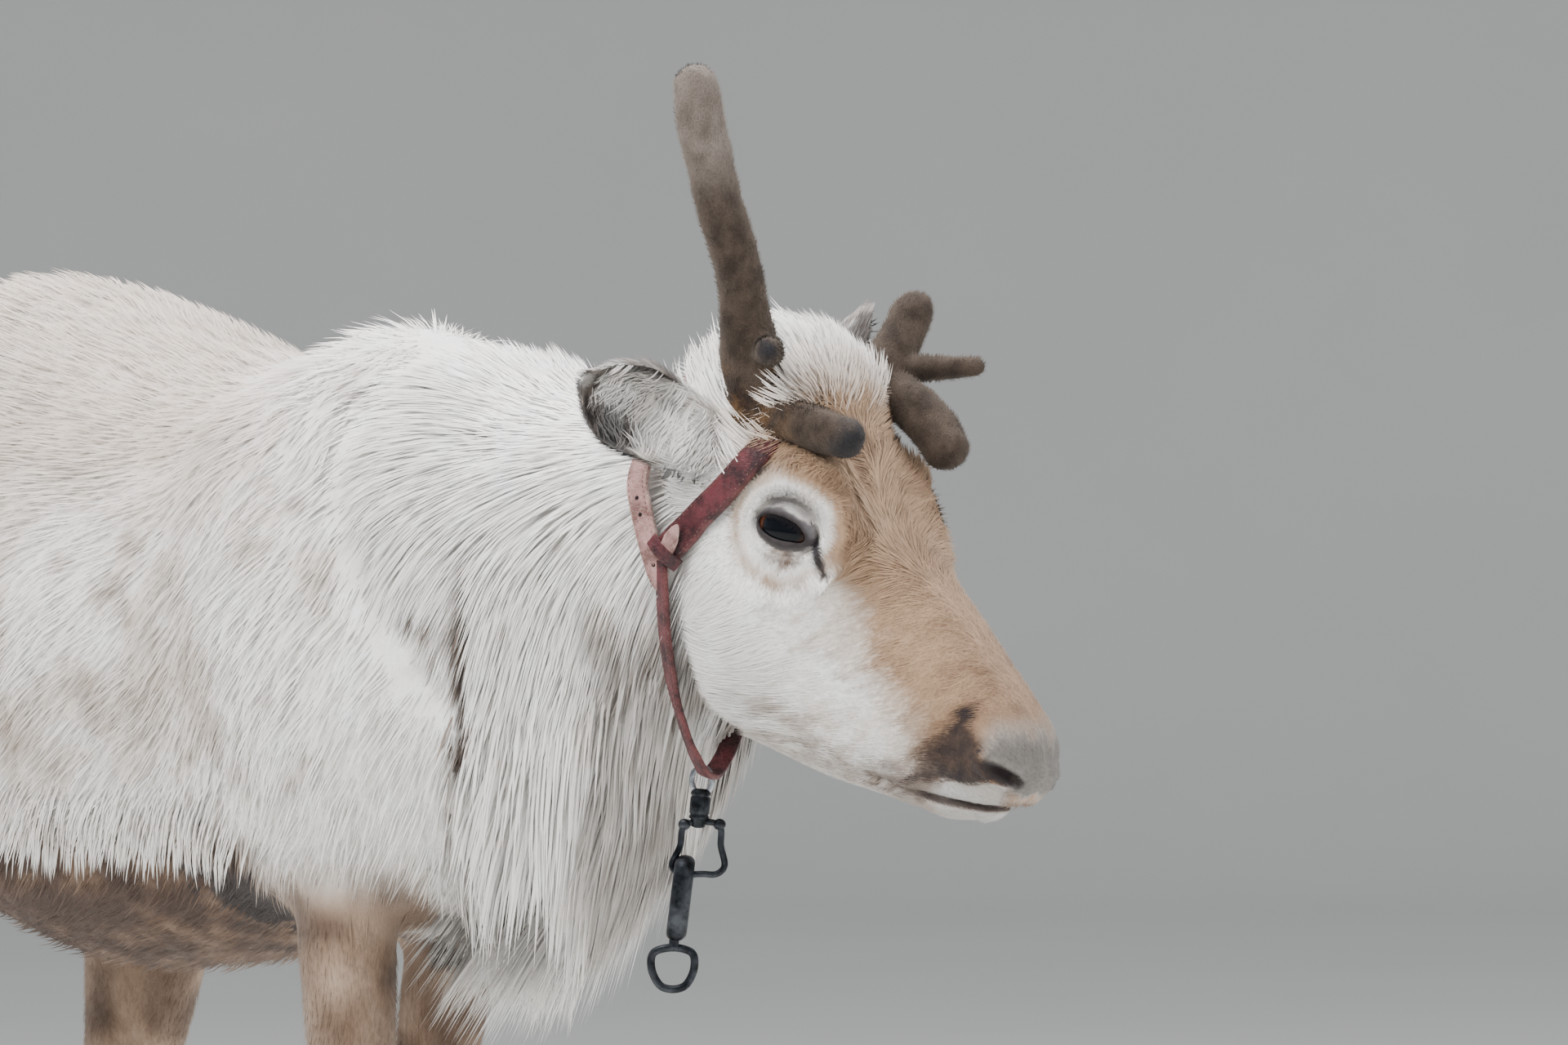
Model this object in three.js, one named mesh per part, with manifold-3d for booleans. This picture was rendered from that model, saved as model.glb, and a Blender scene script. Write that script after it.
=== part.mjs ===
// Reindeer in its spring coat with young velvet antlers, standing, life size, with its leather headstall.
// Millimetres. +X is forward along the back, +Y is the animal's left, +Z is up, and the hooves stand on Z = 0.
// The solids have the outline of the coat: the skin lies a coat's depth inside them.
import * as THREE from "three";
import { mergeVertices } from "three/addons/utils/BufferGeometryUtils.js";
import Module from "manifold-3d";

const wasm = await Module();
wasm.setup();

const GAP = 0.35; // left between pieces that meet
const V = (x, y, z) => new THREE.Vector3(x, y, z);
const X = V(1, 0, 0);
const Y = V(0, 1, 0);
const Z = V(0, 0, 1);
const rad = THREE.MathUtils.degToRad;
const lerp = THREE.MathUtils.lerp;

// Driving dimensions of the body. Heights are above the ground.
const WITHERS = 1020;
const CROUP = 1068;
const BACK_DIP = 996; // the moulted back just behind the withers
const STERNUM = 562;
const BELLY = 511;
const CHEST_HALF = 150; // half widths
const RIB_HALF = 208;
const BELLY_HALF = 232;
const HIP_HALF = 196;
const CHEST_X = 120; // front of the shoulders
const RUMP_X = -842;
const KNEE = 335; // heights of the leg joints
const HOCK = 400;
const FETLOCK = 108;

// Where each leg stands, and where its top is: x of the top, x of the foot, and how far out it is.
const FORE_LEGS = {
  right: { side: -1, topX: -30, footX: 2, out: 82 },
  left: { side: 1, topX: -125, footX: -252, out: 82 },
};
const HIND_LEGS = {
  right: { side: -1, topX: -600, footX: -620, out: 114 },
  left: { side: 1, topX: -625, footX: -668, out: 118 },
};

// The head's own frame: its origin lies between the eyes, hx runs to the nose, hy to the animal's left.
const HEAD_AT = V(425, 48, 857);
const HEAD_TURN = rad(24); // to the left
const HEAD_DROP = rad(45); // nose down
const HEAD_FRAME = new THREE.Matrix4()
  .makeRotationZ(HEAD_TURN)
  .multiply(new THREE.Matrix4().makeRotationY(HEAD_DROP))
  .setPosition(HEAD_AT);
const inHead = (x, y, z) => V(x, y, z).applyMatrix4(HEAD_FRAME);
const headward = (x, y, z) => V(x, y, z).transformDirection(HEAD_FRAME);

// Seeded draw, so that every build is alike.
function seeded(seed) {
  let s = seed;
  return () => {
    s = (s + 0x6d2b79f5) | 0;
    let t = Math.imul(s ^ (s >>> 15), 1 | s);
    t = (t + Math.imul(t ^ (t >>> 7), 61 | t)) ^ t;
    return ((t ^ (t >>> 14)) >>> 0) / 4294967296;
  };
}

// Solids and geometry

function solid(geometry) {
  const bare = geometry.clone();
  bare.deleteAttribute("normal");
  bare.deleteAttribute("uv");
  const merged = mergeVertices(bare, 1e-3);
  return new wasm.Manifold(
    new wasm.Mesh({
      numProp: 3,
      vertProperties: new Float32Array(merged.attributes.position.array),
      triVerts: new Uint32Array(merged.index.array),
    }),
  );
}

function geometryOf(made) {
  const mesh = made.getMesh();
  const geometry = new THREE.BufferGeometry();
  geometry.setAttribute("position", new THREE.BufferAttribute(new Float32Array(mesh.vertProperties), 3));
  geometry.setIndex(new THREE.BufferAttribute(new Uint32Array(mesh.triVerts), 1));
  return geometry;
}

// The same solid with each point moved out along its normal: what a neighbour is cut by to leave the gap.
function grown(made, gap = GAP) {
  const geometry = geometryOf(made);
  geometry.computeVertexNormals();
  const at = geometry.attributes.position;
  const normal = geometry.attributes.normal;
  for (let i = 0; i < at.count; i++) {
    at.setXYZ(
      i,
      at.getX(i) + gap * normal.getX(i),
      at.getY(i) + gap * normal.getY(i),
      at.getZ(i) + gap * normal.getZ(i),
    );
  }
  return solid(geometry);
}

function fused(pieces) {
  return pieces.reduce((sum, piece) => sum.add(piece));
}

function cutBy(made, cutters) {
  return cutters.reduce((rest, cutter) => rest.subtract(grown(cutter)), made);
}

function largest(made) {
  return made.decompose().reduce((best, piece) => (piece.volume() > best.volume() ? piece : best));
}

// A box of half sizes h, placed by a matrix.
function block(h, matrix) {
  return solid(new THREE.BoxGeometry(2 * h.x, 2 * h.y, 2 * h.z).applyMatrix4(matrix));
}

function ellipsoid(centre, radii, turn = new THREE.Euler(), wide = 16, high = 12) {
  const matrix = new THREE.Matrix4().compose(centre, new THREE.Quaternion().setFromEuler(turn), radii);
  return solid(new THREE.SphereGeometry(1, wide, high).applyMatrix4(matrix));
}

// A skin of rings along a smooth spine. Each key has a centre, at, and half sizes: wide to each side, up and down.
// across is the direction of "wide"; along fixes the rings' own direction, and without it they follow the spine.
// square above 2 squares the section, and keel does so for its lower half. A dome of that depth closes an end roundly.
// Each bump swells the surface outwards by rise near the line from at to its far end, to, and fades over reach.
function tube({
  keys,
  rings,
  sides,
  across,
  along = null,
  square = 2,
  keel = square,
  startDome = 0,
  endDome = 0,
  bumps = [],
}) {
  const spine = new THREE.CatmullRomCurve3(keys.map((k) => k.at), false, "catmullrom", 0.5);
  const sizes = new THREE.CatmullRomCurve3(
    keys.map((k) => V(k.wide, k.up ?? k.wide, k.down ?? k.up ?? k.wide)),
    false,
    "catmullrom",
    0.5,
  );
  const frameAt = (t) => {
    const forward = along ? along.clone() : spine.getTangent(t);
    const side = across.clone().addScaledVector(forward, -across.dot(forward)).normalize();
    return { forward, side, top: forward.clone().cross(side) };
  };
  const ridges = bumps.map(({ at, to = at, reach, rise }) => ({ line: new THREE.Line3(at, to), reach, rise }));
  const nearest = V(0, 0, 0);
  const pointAt = (t, angle, shrink = 1, shift = 0) => {
    const { forward, side, top } = frameAt(t);
    const size = sizes.getPoint(t);
    const s = Math.sin(angle);
    const power = 2 / (s > 0 ? square : keel);
    const round = (v) => Math.sign(v) * Math.abs(v) ** power;
    const out = side
      .clone()
      .multiplyScalar(size.x * shrink * round(Math.cos(angle)))
      .addScaledVector(top, (s > 0 ? size.y : size.z) * shrink * round(s));
    const point = spine.getPoint(t).addScaledVector(forward, shift).add(out);
    out.normalize();
    let swell = 0;
    for (const { line, reach, rise } of ridges) {
      const away = line.closestPointToPoint(point, true, nearest).distanceTo(point) / reach;
      swell += rise * Math.exp(-away * away);
    }
    return point.addScaledVector(out, swell);
  };
  const normalAt = (t, angle) => {
    const step = 0.01;
    const ahead = pointAt(Math.min(1, t + step), angle).sub(pointAt(Math.max(0, t - step), angle));
    const round2 = pointAt(t, angle + step).sub(pointAt(t, angle - step));
    return round2.cross(ahead).normalize();
  };
  const loops = [];
  const domeSteps = [55];
  if (startDome) domeSteps.forEach((d) => loops.push([0, Math.cos(rad(d)), -startDome * Math.sin(rad(d))]));
  for (let i = 0; i < rings; i++) loops.push([i / (rings - 1), 1, 0]);
  if (endDome) [...domeSteps].reverse().forEach((d) => loops.push([1, Math.cos(rad(d)), endDome * Math.sin(rad(d))]));
  const points = [];
  for (const [t, shrink, shift] of loops)
    for (let j = 0; j < sides; j++) points.push(pointAt(t, (2 * Math.PI * j) / sides, shrink, shift));
  const faces = [];
  for (let i = 0; i < loops.length - 1; i++)
    for (let j = 0; j < sides; j++) {
      const a = i * sides + j;
      const b = i * sides + ((j + 1) % sides);
      faces.push(a, b, a + sides, b, b + sides, a + sides);
    }
  const first = points.length;
  points.push(spine.getPoint(0).addScaledVector(frameAt(0).forward, -startDome));
  points.push(spine.getPoint(1).addScaledVector(frameAt(1).forward, endDome));
  const last = (loops.length - 1) * sides;
  for (let j = 0; j < sides; j++) {
    const k = (j + 1) % sides;
    faces.push(first, k, j, first + 1, last + j, last + k);
  }
  const geometry = new THREE.BufferGeometry().setFromPoints(points);
  geometry.setIndex(faces);
  return { solid: solid(geometry), pointAt, normalAt };
}

// A round bar of radius r along a closed loop of points.
function closedBar(points, r, { steps = 32, sides = 8, squash = 1, across = Y } = {}) {
  const path = new THREE.CatmullRomCurve3(points, true, "centripetal");
  const rings = [];
  for (let i = 0; i < steps; i++) {
    const forward = path.getTangent(i / steps);
    const side = across.clone().addScaledVector(forward, -across.dot(forward)).normalize();
    const top = forward.clone().cross(side);
    for (let j = 0; j < sides; j++) {
      const angle = (2 * Math.PI * (j + 0.5)) / sides;
      rings.push(
        path
          .getPoint(i / steps)
          .addScaledVector(side, r * squash * Math.cos(angle))
          .addScaledVector(top, r * Math.sin(angle)),
      );
    }
  }
  return solid(ringMesh(rings, steps, sides));
}

// Closes rings of points into a loop.
function ringMesh(points, steps, sides) {
  const faces = [];
  for (let i = 0; i < steps; i++)
    for (let j = 0; j < sides; j++) {
      const next = ((i + 1) % steps) * sides;
      const a = i * sides + j;
      const b = i * sides + ((j + 1) % sides);
      const c = next + j;
      const d = next + ((j + 1) % sides);
      faces.push(a, b, c, b, d, c);
    }
  const geometry = new THREE.BufferGeometry().setFromPoints(points);
  geometry.setIndex(faces);
  return geometry;
}

// Torso

function makeTorso() {
  const station = (x, top, bottom, half) => ({
    at: V(x, 0, (top + bottom) / 2),
    wide: half,
    up: (top - bottom) / 2,
  });
  const bumps = [-1, 1].flatMap((side) => [
    { at: V(-70, side * 120, 900), to: V(15, side * 150, 730), reach: 75, rise: 22 }, // shoulder blade
    { at: V(-60, side * 130, 640), reach: 75, rise: 20 }, // elbow
    { at: V(-650, side * 160, 930), to: V(-610, side * 170, 740), reach: 110, rise: 30 }, // haunch
    { at: V(-545, side * 165, 640), reach: 70, rise: 18 }, // stifle
    { at: V(-590, side * 120, 1030), reach: 60, rise: 10 }, // hip bone
    { at: V(-510, side * 215, 890), to: V(-500, side * 215, 760), reach: 65, rise: -20 }, // hollow of the flank
  ]);
  return tube({
    keys: [
      station(CHEST_X, 850, 640, CHEST_HALF * 0.7),
      station(60, 925, 590, CHEST_HALF * 0.94),
      station(-30, WITHERS - 6, STERNUM, CHEST_HALF * 1.16),
      station(-110, 1012, STERNUM - 10, RIB_HALF * 0.92),
      station(-195, BACK_DIP, STERNUM - 26, RIB_HALF),
      station(-310, 1010, BELLY + 8, BELLY_HALF * 0.97),
      station(-430, 1040, BELLY, BELLY_HALF),
      station(-540, 1062, BELLY + 26, BELLY_HALF * 0.94),
      station(-635, CROUP, 585, HIP_HALF),
      station(-715, 1052, 640, HIP_HALF * 0.86),
      station(RUMP_X + 50, 1010, 715, HIP_HALF * 0.62),
    ],
    rings: 21,
    sides: 24,
    across: Y,
    along: X.clone().negate(),
    square: 2.2,
    keel: 1.9,
    startDome: 52,
    endDome: 48,
    bumps,
  }).solid;
}

// Neck with its mane

function neckTube() {
  return tube({
    keys: [
      { at: V(-60, 0, 850), wide: 108, up: 146, down: 200 },
      { at: V(60, 0, 850), wide: 134, up: 148, down: 232 },
      { at: V(170, 3, 848), wide: 122, up: 118, down: 218 },
      { at: V(265, 7, 852), wide: 102, up: 106, down: 168 },
      { at: V(330, 13, 858), wide: 86, up: 100, down: 124 },
      { at: V(385, 32, 864), wide: 62, up: 70, down: 84 },
    ],
    rings: 11,
    sides: 20,
    across: Y,
    square: 2.1,
    keel: 1.65,
  });
}

// A flat tapered lock that leaves the coat along its lie and hangs over. root is on the surface, normal points out.
function lock({ root, normal, lie, length, width, sink = 14 }) {
  const down = V(0, 0, -1);
  const start = root.clone().addScaledVector(normal, -sink);
  const early = root.clone().addScaledVector(lie, length * 0.3).addScaledVector(normal, length * 0.06);
  const late = early.clone().addScaledVector(lie, length * 0.2).addScaledVector(down, length * 0.25);
  const tip = late.clone().addScaledVector(lie, length * 0.04).addScaledVector(down, length * 0.3);
  return tube({
    keys: [
      { at: start, wide: width * 0.42, up: width * 0.15 },
      { at: early, wide: width * 0.5, up: width * 0.14 },
      { at: late, wide: width * 0.34, up: width * 0.1 },
      { at: tip, wide: 1.6, up: 1 },
    ],
    rings: 4,
    sides: 4,
    across: normal.clone().cross(lie).normalize(),
  }).solid;
}

// Rows of locks from the brisket to the throat, longest under the middle of the neck.
function maneLocks(neck) {
  const draw = seeded(7);
  const rows = 7;
  const locks = [];
  for (let row = 0; row < rows; row++) {
    const across = 7 - (row % 2);
    for (let i = 0; i < across; i++) {
      const aside = (i / (across - 1)) * 2 - 1; // -1 right, 0 under the throat, 1 left
      const t = lerp(0.2, 0.72, row / (rows - 1)) + (draw() - 0.5) * 0.03;
      const spread = lerp(76, 44, THREE.MathUtils.clamp((t - 0.5) / 0.2, 0, 1));
      const angle = rad(-90 + aside * spread + (draw() - 0.5) * 5);
      const root = neck.pointAt(t, angle);
      const normal = neck.normalAt(t, angle);
      const lie = V(-0.5, 0, -0.85).projectOnPlane(normal).normalize();
      const middle = 1 - Math.abs(aside);
      const beard = Math.cos(Math.PI * THREE.MathUtils.clamp(1.35 * (t - 0.4), -0.3, 0.5));
      const length = lerp(66, 145, middle) * (0.4 + 0.6 * beard) * lerp(0.88, 1.12, draw());
      locks.push(lock({ root, normal, lie, length, width: lerp(40, 50, draw()) }));
    }
  }
  return locks;
}

// Head

function skullTube() {
  const station = (x, top, bottom, half) => ({
    at: inHead(x, 0, (top + bottom) / 2),
    wide: half,
    up: (top - bottom) / 2,
  });
  const bumps = [-1, 1].flatMap((side) => [
    { at: inHead(-22, side * 70, 20), to: inHead(22, side * 68, 22), reach: 34, rise: 18 }, // brow
    { at: inHead(-12, side * 63, 38), to: inHead(16, side * 61, 36), reach: 22, rise: 22 }, // rim of the orbit
    { at: inHead(10, side * 72, -14), to: inHead(60, side * 58, -36), reach: 20, rise: 4 }, // cheekbone
    { at: inHead(-6, side * 70, -70), to: inHead(30, side * 60, -84), reach: 40, rise: 7 }, // jaw muscle
    { at: inHead(72, side * 55, -8), reach: 30, rise: -5 }, // hollow before the eye
    { at: inHead(192, side * 37, -4), to: inHead(208, side * 33, -18), reach: 18, rise: 5 }, // wing of the nostril
    { at: inHead(-84, side * 44, 60), reach: 26, rise: 10 }, // pedicle of the antler
    { at: inHead(-8, side * 76, 3), reach: 15, rise: -7 }, // socket
  ]);
  return tube({
    keys: [
      station(-138, 66, -48, 56),
      station(-108, 81, -88, 66),
      station(-72, 76, -118, 72),
      station(-28, 57, -140, 75),
      station(18, 38, -150, 76),
      station(62, 35, -139, 68),
      station(104, 32, -117, 60),
      station(145, 27, -92, 52),
      station(180, 22, -64, 45),
      station(202, 15, -47, 37),
      station(216, 4, -33, 27),
    ],
    rings: 22,
    sides: 22,
    across: headward(0, 1, 0),
    along: headward(1, 0, 0),
    square: 2.25,
    startDome: 22,
    endDome: 10,
    bumps,
  });
}

// The point of the head's side at x and z of its own frame.
function onSide(target, x, z, side) {
  const inward = headward(0, -side, 0);
  return new THREE.Raycaster(inHead(x, side * 200, z), inward).intersectObject(target)[0].point;
}

const EYE_R = 18;
const EYE_X = -7;
const EYE_Z = 3;
const EYE_PROUD = 5; // how far the ball stands out of the fur between the lids

function makeEye(target, side) {
  const centre = onSide(target, EYE_X, EYE_Z, side).addScaledVector(headward(0, side, 0), EYE_PROUD - EYE_R);
  return ellipsoid(centre, V(EYE_R, EYE_R, EYE_R), new THREE.Euler(), 12, 8);
}

// The rim of one eye: an almond of lid round the ball, drawn out forward to the tear duct.
function makeLid(target, side) {
  const rim = [[-29, -14], [-27, 3], [-17, 17], [0, 20], [13, 14], [24, 5], [31, -4], [18, -1], [6, -7], [-8, -14], [-20, -18]];
  const points = rim.map(([x, z]) => onSide(target, x, z, side));
  if (side > 0) points.reverse();
  return closedBar(points, 4, { steps: 16, sides: 5, across: headward(0, side, 0) });
}

function makeJaw() {
  const station = (x, z, up, down, half) => ({ at: inHead(x, 0, z), wide: half, up, down });
  return tube({
    keys: [
      station(48, -120, 24, 29, 30),
      station(100, -103, 20, 24, 28),
      station(140, -87, 17, 17, 29),
      station(172, -71, 14, 15, 31),
      station(192, -60, 11, 16, 29),
      station(208, -48, 9, 13, 21),
    ],
    rings: 11,
    sides: 12,
    across: headward(0, 1, 0),
    along: headward(1, 0, 0),
    square: 2.3,
    startDome: 12,
    endDome: 6,
  }).solid;
}

function makeHead(skull, lids, jaw, eyes) {
  const nostrils = [-1, 1].map((side) =>
    ellipsoid(inHead(206, side * 39, -15), V(12, 9, 5.5), new THREE.Euler(0, HEAD_DROP + 0.5, HEAD_TURN, "ZYX"), 8, 6),
  );
  const lidded = cutBy(fused([skull, ...lids]), [...eyes, jaw]);
  return largest(nostrils.reduce((rest, pit) => rest.subtract(pit), lidded));
}

// Ear: a leaf with a cup pressed in from its front face.
function makeEar(base, tip, front, length) {
  const along = tip.clone().sub(base).normalize();
  const across = along.clone().cross(front).normalize();
  const shape = (sizes, from, to, shift) => ({
    keys: sizes.map(([share, wide, thick]) => ({
      at: base
        .clone()
        .addScaledVector(along, length * lerp(from, to, share))
        .addScaledVector(front, shift),
      wide,
      up: thick,
    })),
    across,
    along,
  });
  const leaf = tube({
    ...shape(
      [
        [0, 24, 18],
        [0.25, 36, 24],
        [0.5, 39, 23],
        [0.75, 35, 17],
        [1, 20, 9],
      ],
      -0.1,
      0.93,
      0,
    ),
    rings: 7,
    sides: 12,
    endDome: length * 0.07,
  }).solid;
  const cup = tube({
    ...shape(
      [
        [0, 10, 8],
        [0.3, 27, 18],
        [0.6, 33, 20],
        [0.85, 28, 16],
        [1, 15, 9],
      ],
      0.2,
      0.86,
      12,
    ),
    rings: 5,
    sides: 10,
    startDome: 6,
    endDome: 6,
  }).solid;
  return leaf.subtract(cup);
}

// Antlers in velvet

function branch(points, radii, across, endDome, sides = 10) {
  return tube({
    keys: points.map((p, i) => ({ at: inHead(...p), wide: radii[i][0], up: radii[i][1] ?? radii[i][0] })),
    rings: 2 * points.length - 1,
    sides,
    across,
    endDome,
  }).solid;
}

function makeAntlers() {
  const lateral = headward(0, 1, 0);
  const right = {
    beam: branch(
      [
        [-84, -38, 16],
        [-92, -48, 36],
        [-116, -56, 54],
        [-139, -66, 78],
        [-162, -80, 103],
        [-196, -96, 131],
        [-230, -110, 160],
        [-250, -118, 180],
      ],
      [[27, 25], [27, 25], [23, 24], [19.5, 19], [18, 18], [17.5, 18], [18.5, 18.5], [17, 17]],
      lateral,
      15,
    ),
    brow_tine: branch(
      [
        [-92, -48, 34],
        [-68, -56, 46],
        [-42, -62, 62],
        [-22, -66, 74],
      ],
      [[18, 17], [18, 17], [17.5, 17.5], [16, 16]],
      lateral,
      13,
    ),
    bez_tine: branch(
      [
        [-112, -58, 66],
        [-102, -78, 76],
        [-92, -98, 86],
        [-87, -110, 91],
      ],
      [[12], [11.5], [12.5], [12]],
      Z,
      10,
      8,
    ),
  };
  const left = {
    beam: branch(
      [
        [-84, 40, 22],
        [-86, 52, 54],
        [-92, 64, 78],
        [-104, 78, 96],
        [-113, 88, 108],
      ],
      [[26, 24], [25, 24], [20, 19], [17, 17], [16, 16]],
      lateral,
      14,
    ),
    brow_tine: branch(
      [
        [-86, 54, 62],
        [-60, 56, 74],
        [-32, 54, 78],
        [-12, 51, 76],
      ],
      [[18, 18], [19, 18], [19, 19], [18.5, 18.5]],
      lateral,
      15,
    ),
    bez_tine: branch(
      [
        [-88, 62, 76],
        [-74, 70, 92],
        [-60, 78, 106],
        [-50, 83, 117],
      ],
      [[12], [11], [10.5], [9.5]],
      lateral,
      9,
      8,
    ),
  };
  return { right, left };
}

// Legs and hooves

const claws = (cx, cy, splay) =>
  [-1, 1].map((side) => {
    const sole = [
      [-34, 14, 15, 40],
      [-12, 17, 21, 52],
      [14, 19, 21, 46],
      [38, 17, 16, 30],
      [56, 11, 8, 14],
    ];
    const body = tube({
      keys: sole.map(([x, out, half, high]) => ({
        at: V(cx + x, cy + side * (out + splay), -2),
        wide: half,
        up: high,
        down: 6,
      })),
      rings: 6,
      sides: 8,
      across: Y,
      along: X,
      square: 2.2,
      startDome: 8,
      endDome: 8,
    }).solid;
    return body.subtract(block(V(200, 200, 50), new THREE.Matrix4().makeTranslation(cx, cy, -50)));
  });

const dewclaw = (cx, cy, side) =>
  tube({
    keys: [
      { at: V(cx - 18, cy + side * 12, 78), wide: 10, up: 9 },
      { at: V(cx - 33, cy + side * 17, 58), wide: 11, up: 10 },
      { at: V(cx - 42, cy + side * 19, 36), wide: 9, up: 7 },
      { at: V(cx - 44, cy + side * 19, 20), wide: 4, up: 3 },
    ],
    rings: 4,
    sides: 5,
    across: Y,
  }).solid;

function makeLeg(keys, bumps, jointZ, foot, torso) {
  const whole = tube({ keys, bumps, rings: 15, sides: 10, across: Y, startDome: 20, endDome: 12 }).solid;
  const hooves = claws(foot.x, foot.y, 4);
  const dewclaws = [-1, 1].map((side) => dewclaw(foot.x, foot.y, side));
  const shank = cutBy(whole, [torso, ...hooves]);
  const half = 400;
  const slab = (z) => block(V(2 * half, half, half), new THREE.Matrix4().makeTranslation(foot.x, foot.y, z));
  const upper = largest(shank.subtract(slab(jointZ + GAP / 2 - half)));
  const lower = largest(shank.subtract(slab(jointZ - GAP / 2 + half)));
  return { upper, lower, hooves, dewclaws: dewclaws.map((claw) => largest(cutBy(claw, [lower, ...hooves]))) };
}

// Half sizes are side to side, then forward and back.
function foreKeys({ side, topX, footX, out }) {
  const at = (share, z, forward = 0) => V(lerp(topX, footX, share) + forward, side * out, z);
  return [
    { at: at(0, 660), wide: 44, up: 60, down: 62 },
    { at: at(0.12, 590), wide: 42, up: 50, down: 56 },
    { at: at(0.3, 500), wide: 36, up: 41, down: 44 },
    { at: at(0.52, 400), wide: 32, up: 35, down: 35 },
    { at: at(0.66, KNEE, 4), wide: 33, up: 36, down: 34 },
    { at: at(0.76, 285, 2), wide: 25, up: 26, down: 26 },
    { at: at(0.88, 190), wide: 22, up: 23, down: 25 },
    { at: at(0.98, FETLOCK), wide: 28, up: 27, down: 31 },
    { at: at(1, 62, 6), wide: 27, up: 27, down: 27 },
    { at: at(1, 42, 12), wide: 29, up: 30, down: 28 },
  ];
}

// The joints stand out of the leg: the knee to the front, the point of the hock and the fetlocks to the back.
function foreBumps({ side, topX, footX, out }) {
  const at = (share, z, forward) => V(lerp(topX, footX, share) + forward, side * out, z);
  return [
    { at: at(0.66, KNEE, 34), reach: 30, rise: 5 },
    { at: at(0.98, FETLOCK, -26), reach: 24, rise: 5 },
  ];
}

const HOCK_BACK = 52; // how far the hock stands behind the foot

function hindBumps({ side, footX, out }) {
  const at = (x, z) => V(x, side * out, z);
  return [
    { at: at(footX - HOCK_BACK - 40, HOCK + 20), reach: 32, rise: 13 },
    { at: at(footX - 34, FETLOCK), reach: 24, rise: 5 },
  ];
}

function hindKeys({ side, topX, footX, out }) {
  const at = (x, z) => V(x, side * out, z);
  const hockX = footX - HOCK_BACK;
  const thighX = topX - 28;
  return [
    { at: at(thighX, 730), wide: 78, up: 116, down: 132 },
    { at: at(thighX, 630), wide: 70, up: 104, down: 116 },
    { at: at(lerp(thighX, hockX, 0.42), 535), wide: 52, up: 70, down: 76 },
    { at: at(lerp(thighX, hockX, 0.75), 455), wide: 44, up: 52, down: 50 },
    { at: at(hockX, HOCK), wide: 33, up: 38, down: 36 },
    { at: at(hockX + 10, 355), wide: 26, up: 29, down: 32 },
    { at: at(lerp(hockX, footX, 0.45), 250), wide: 23, up: 25, down: 26 },
    { at: at(lerp(hockX, footX, 0.82), FETLOCK), wide: 28, up: 28, down: 32 },
    { at: at(footX, 62), wide: 27, up: 27, down: 27 },
    { at: at(footX + 8, 42), wide: 29, up: 30, down: 28 },
  ];
}

// Tail

function makeTail(torso) {
  const core = tube({
    keys: [
      { at: V(RUMP_X + 50, 0, 975), wide: 34, up: 26 },
      { at: V(RUMP_X + 2, 0, 945), wide: 36, up: 24 },
      { at: V(RUMP_X - 18, 0, 900), wide: 36, up: 20 },
      { at: V(RUMP_X - 20, 0, 858), wide: 24, up: 14 },
    ],
    rings: 7,
    sides: 10,
    across: Y,
    endDome: 12,
  });
  const draw = seeded(3);
  const locks = [];
  for (let row = 0; row < 2; row++)
    for (let i = 0; i < 4; i++) {
      const t = lerp(0.6, 0.9, row);
      const angle = (2 * Math.PI * (i + 0.5 * row)) / 4;
      const root = core.pointAt(t, angle);
      const normal = core.normalAt(t, angle);
      const lie = V(0, 0, -1).projectOnPlane(normal).normalize();
      locks.push(lock({ root, normal, lie, length: 62 * (0.85 + 0.3 * draw()), width: 22, sink: 10 }));
    }
  return largest(cutBy(fused([core.solid, ...locks]), [torso]));
}

// Headstall

const JOIN = { x: -58, y: 82, z: -86 }; // below each ear, in the head's frame

// Where a ray from outside meets the coat, at station x of the head's frame and angle from straight up (right is minus).
function onCoat(target, x, angle) {
  const out = headward(0, Math.sin(rad(angle)), Math.cos(rad(angle)));
  const from = inHead(x, 0, -40).addScaledVector(out, 420);
  const hit = new THREE.Raycaster(from, out.clone().negate()).intersectObject(target)[0];
  return { at: hit.point, out: hit.face.normal.clone() };
}

// A flat band with its middle on a line of {at, out}: out is the way its outer face looks. Ends are square.
function band(laid, { width, thick }) {
  const points = [];
  laid.forEach(({ at, out }, i) => {
    const ahead = laid[Math.min(i + 1, laid.length - 1)].at;
    const forward = ahead.clone().sub(laid[Math.max(i - 1, 0)].at).normalize();
    const side = out.clone().cross(forward).normalize();
    const top = forward.clone().cross(side);
    for (const [s, t] of [[1, 1], [-1, 1], [-1, -1], [1, -1]])
      points.push(at.clone().addScaledVector(side, (s * width) / 2).addScaledVector(top, (t * thick) / 2));
  });
  const geometry = ringMesh(points, laid.length, 4);
  const last = (laid.length - 1) * 4;
  const sleeve = Array.from(geometry.index.array).slice(0, last * 6);
  geometry.setIndex([...sleeve, 0, 2, 1, 0, 3, 2, last, last + 1, last + 2, last, last + 2, last + 3]);
  return solid(geometry);
}

// Evens out a list of points or directions by a running mean of three.
function smoothed(list, passes) {
  let even = list.map((v) => v.clone());
  for (let pass = 0; pass < passes; pass++)
    even = even.map((v, i) =>
      v.clone().multiplyScalar(2).add(even[Math.max(i - 1, 0)]).add(even[Math.min(i + 1, even.length - 1)]).divideScalar(4),
    );
  return even;
}

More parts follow.
